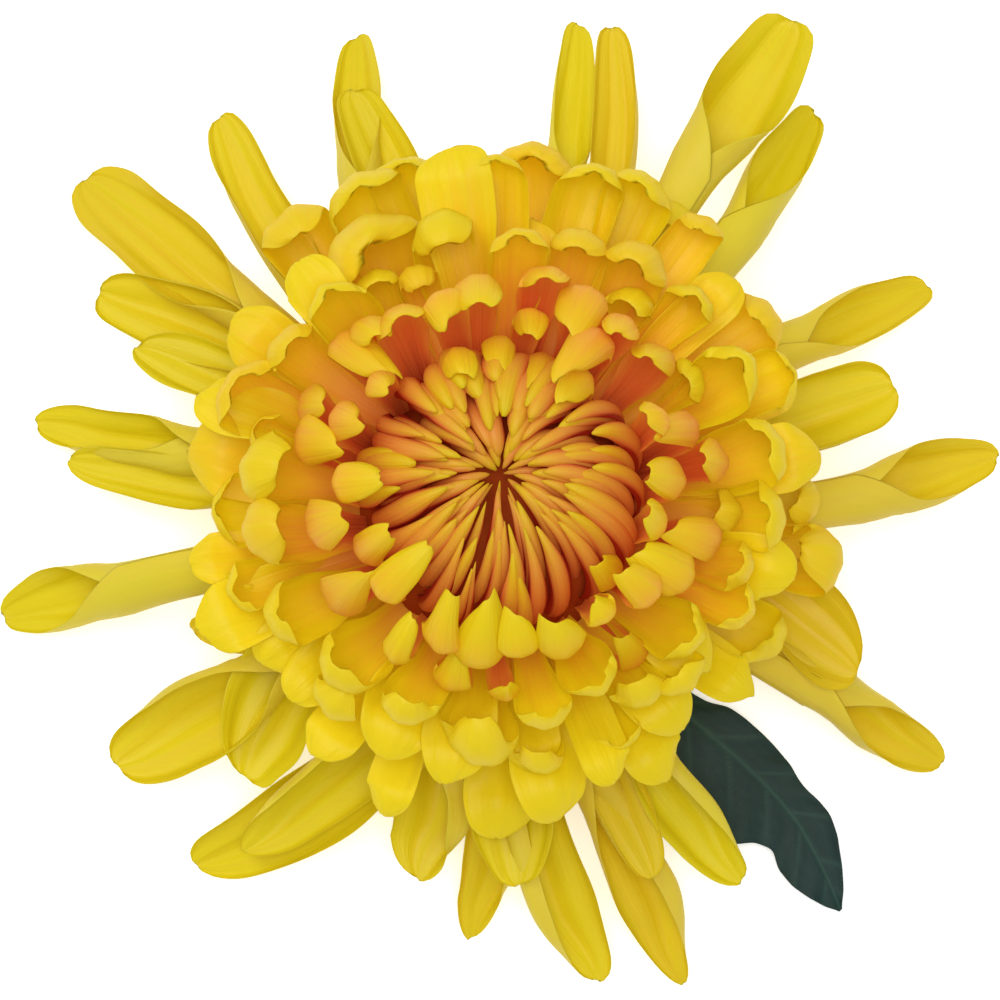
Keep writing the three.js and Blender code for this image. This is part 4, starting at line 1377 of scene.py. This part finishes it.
@dataclass
class Leaf:
    """The one leaf: its stalk, its lobed blade and its veins."""

    plant: Plant
    finish: LeafFinish = field(default_factory=LeafFinish)
    bearing: float = 315.3
    rows: int = 170
    columns: int = 56
    outline: tuple = (
        (3.3, 1.5, 1.5, 0, 5.1, 2.4), (5, 1.1, 1.1, 0, 4.9, 1.9), (10, 1, 1, 0, 4.3, 1.6),
        (16, 1.2, 1.3, 0, 3.9, 1.4), (19, 2.6, 2.4, 0, 3.7, 0.9), (22, 5.2, 4.6, 0, 3.6, 0.6),
        (24.5, 6.6, 6.2, 0, 3.5, 0.5), (27, 6.2, 6, 0, 3.4, 0.5), (29.5, 8.4, 4.4, 0, 3.3, 0.5),
        (32.5, 10.2, 4.2, 0, 3.3, 0.5), (35.5, 9.4, 2.6, -0.2, 3.2, 0.5),
        (38.5, 7.4, 3.4, -0.2, 3.2, 0.5), (41, 9.6, 4.7, 0, 3.1, 0.5), (44, 11.6, 5, 0.2, 3.1, 0.5),
        (47, 12.2, 5, 0.4, 3, 0.5), (50, 11.4, 4.9, 0.5, 2.9, 0.5), (53, 10.6, 4.6, 0.5, 2.8, 0.5),
        (55.3, 9, 4, 0.4, 2.7, 0.5), (57, 6.6, 3.9, 0.2, 2.6, 0.5), (59.6, 5.2, 4.3, -0.1, 2.5, 0.5),
        (62, 5.9, 4.8, -0.8, 2.4, 0.5), (65, 5.4, 4.2, -1.7, 2.3, 0.5), (68, 3.8, 3, -2.8, 2.1, 0.5),
        (70.6, 2, 1.7, -3.8, 1.8, 0.5), (72.4, 0.1, 0.1, -4.7, 1.5, 0.4),
    )

    def build(self) -> None:
        """Builds the leaf."""
        table = np.array(self.outline, float)
        out = np.linspace(table[0, 0], table[-1, 0], self.rows)
        left, right, bend, height, thick = (self.eased(out, table, k) for k in range(1, 6))
        u = np.linspace(-1, 1, self.columns + 1)
        half = np.where(u[None, :] < 0, left[:, None], right[:, None])
        offset = u[None, :] * half
        out, u = np.meshgrid(out, u, indexing="ij")
        veins = self.veins(out, offset)
        blade = smooth(16, 24, out)
        quilting = 0.16 * np.cos(1.15 * (out - 0.9 * np.abs(offset))) * np.abs(u) - 0.14 * veins
        waves = 0.5 * np.sin(0.42 * out + 2 * np.sign(u)) * u ** 2
        lift = height[:, None] + 0.06 * np.abs(offset) + waves + blade * quilting
        body = 0.5 * thick[:, None] * np.sqrt(np.maximum(0, 1 - u ** 4))
        outward, side = directions(np.radians(self.bearing))
        flat = (np.array(self.plant.foot) + outward * out[..., None]
                + side * (bend[:, None] + offset)[..., None])
        inner = flat + UPWARD * (lift + body)[..., None]
        outer = flat + UPWARD * (lift - body - 0.2 * veins * blade)[..., None]
        place = np.dstack([(out - out.min()) / np.ptp(out), u])
        mood = np.dstack([veins, np.zeros_like(u), np.zeros_like(u)])
        blades = Blades()
        blades.add(inner, outer, place, mood)
        dressed(blades.piece("leaf_blade"), self.finish.material(), "leaf")

    def eased(self, out: np.ndarray, table: np.ndarray, column: int) -> np.ndarray:
        """Reads a column of the outline and rounds its corners."""
        values = np.interp(out, table[:, 0], table[:, column])
        padded = np.pad(values, 2, mode="edge")
        return np.convolve(padded, (0.1, 0.22, 0.36, 0.22, 0.1), mode="valid")

    def veins(self, out: np.ndarray, offset: np.ndarray) -> np.ndarray:
        """Returns how strongly a vein shows at each point, from 0 to 1."""
        side = np.abs(offset)
        midrib = np.exp(-((side / (0.75 - 0.006 * out)) ** 2))
        phase = (out - 1.15 * side + 0.022 * side ** 2 + 2.5 * (offset > 0)) / 7.5
        branch = np.exp(-(((phase - np.round(phase)) * 7.5 / 0.42) ** 2)) * (side > 0.4)
        return np.maximum(midrib, 0.7 * branch * smooth(18, 24, out) * np.exp(-side / 14))


@dataclass
class Studio:
    """The pale floor, the soft lights and the camera that looks down on the bloom."""

    plant: Plant
    view: View
    sensor: float = 36.0
    floor: float = 3.0
    surroundings: float = 0.37

    def place_camera(self) -> None:
        """Makes the camera at the photograph's angle."""
        data = bpy.data.cameras.new("view")
        data.sensor_width = self.sensor
        data.lens = self.sensor * self.view.distance / self.view.field_of_view
        data.clip_start = 0.01
        data.clip_end = 10.0
        camera = linked("view", data)
        camera.location = (self.view.eye + np.array(self.plant.foot)) * MM
        camera.rotation_euler = (self.view.tilt, 0.0, 0.0)
        bpy.context.scene.camera = camera

    def light(self, name: str, place: tuple, size: float, power: float) -> None:
        """Makes one soft square light that looks at the bloom.

        Args:
            name: its name.
            place: where it is, in metres.
            size: its side, in metres.
            power: its power, in watts.
        """
        data = bpy.data.lights.new(name, "AREA")
        data.size = size
        data.energy = power
        lamp = linked(name, data)
        lamp.location = place
        aim = Vector(LIT_POINT) - Vector(place)
        lamp.rotation_euler = aim.to_track_quat("-Z", "Y").to_euler()

    def light_scene(self) -> None:
        """Makes the floor, the lights and the pale surroundings."""
        mesh = bpy.data.meshes.new("floor")
        corners = ((-1, -1), (1, -1), (1, 1), (-1, 1))
        mesh.from_pydata([(self.floor * x, self.floor * y, 0) for x, y in corners], [], [(0, 1, 2, 3)])
        nodes = Nodes.fresh("floor_white")
        nodes.coat((0.93, 0.93, 0.93, 1), roughness=0.8)
        nodes.glow(WHITE, 0.44)
        mesh.materials.append(nodes.material)
        linked("floor", mesh)
        self.light("key", (-0.35, 0.35, 0.75), 0.5, 2.7)
        self.light("fill", (0.5, -0.25, 0.7), 0.8, 0.7)
        self.light("top", (0.0, -0.1, 1.1), 0.5, 5.4)
        world = bpy.data.worlds.new("pale")
        world.use_nodes = True
        background = world.node_tree.nodes["Background"]
        background.inputs["Color"].default_value = WHITE
        background.inputs["Strength"].default_value = self.surroundings
        scene = bpy.context.scene
        scene.world = world
        scene.view_settings.view_transform = "Standard"


def main() -> None:
    """Builds the camera, the plant and the studio in order."""
    logging.basicConfig(level=logging.INFO, format="%(name)s: %(message)s")
    plant = Plant()
    view = View()
    studio = Studio(plant, view)
    studio.place_camera()
    for part in (Bloom(plant, view), Calyx(plant), Stem(plant), Leaf(plant)):
        part.build()
    studio.light_scene()


if __name__ == "__main__":
    main()
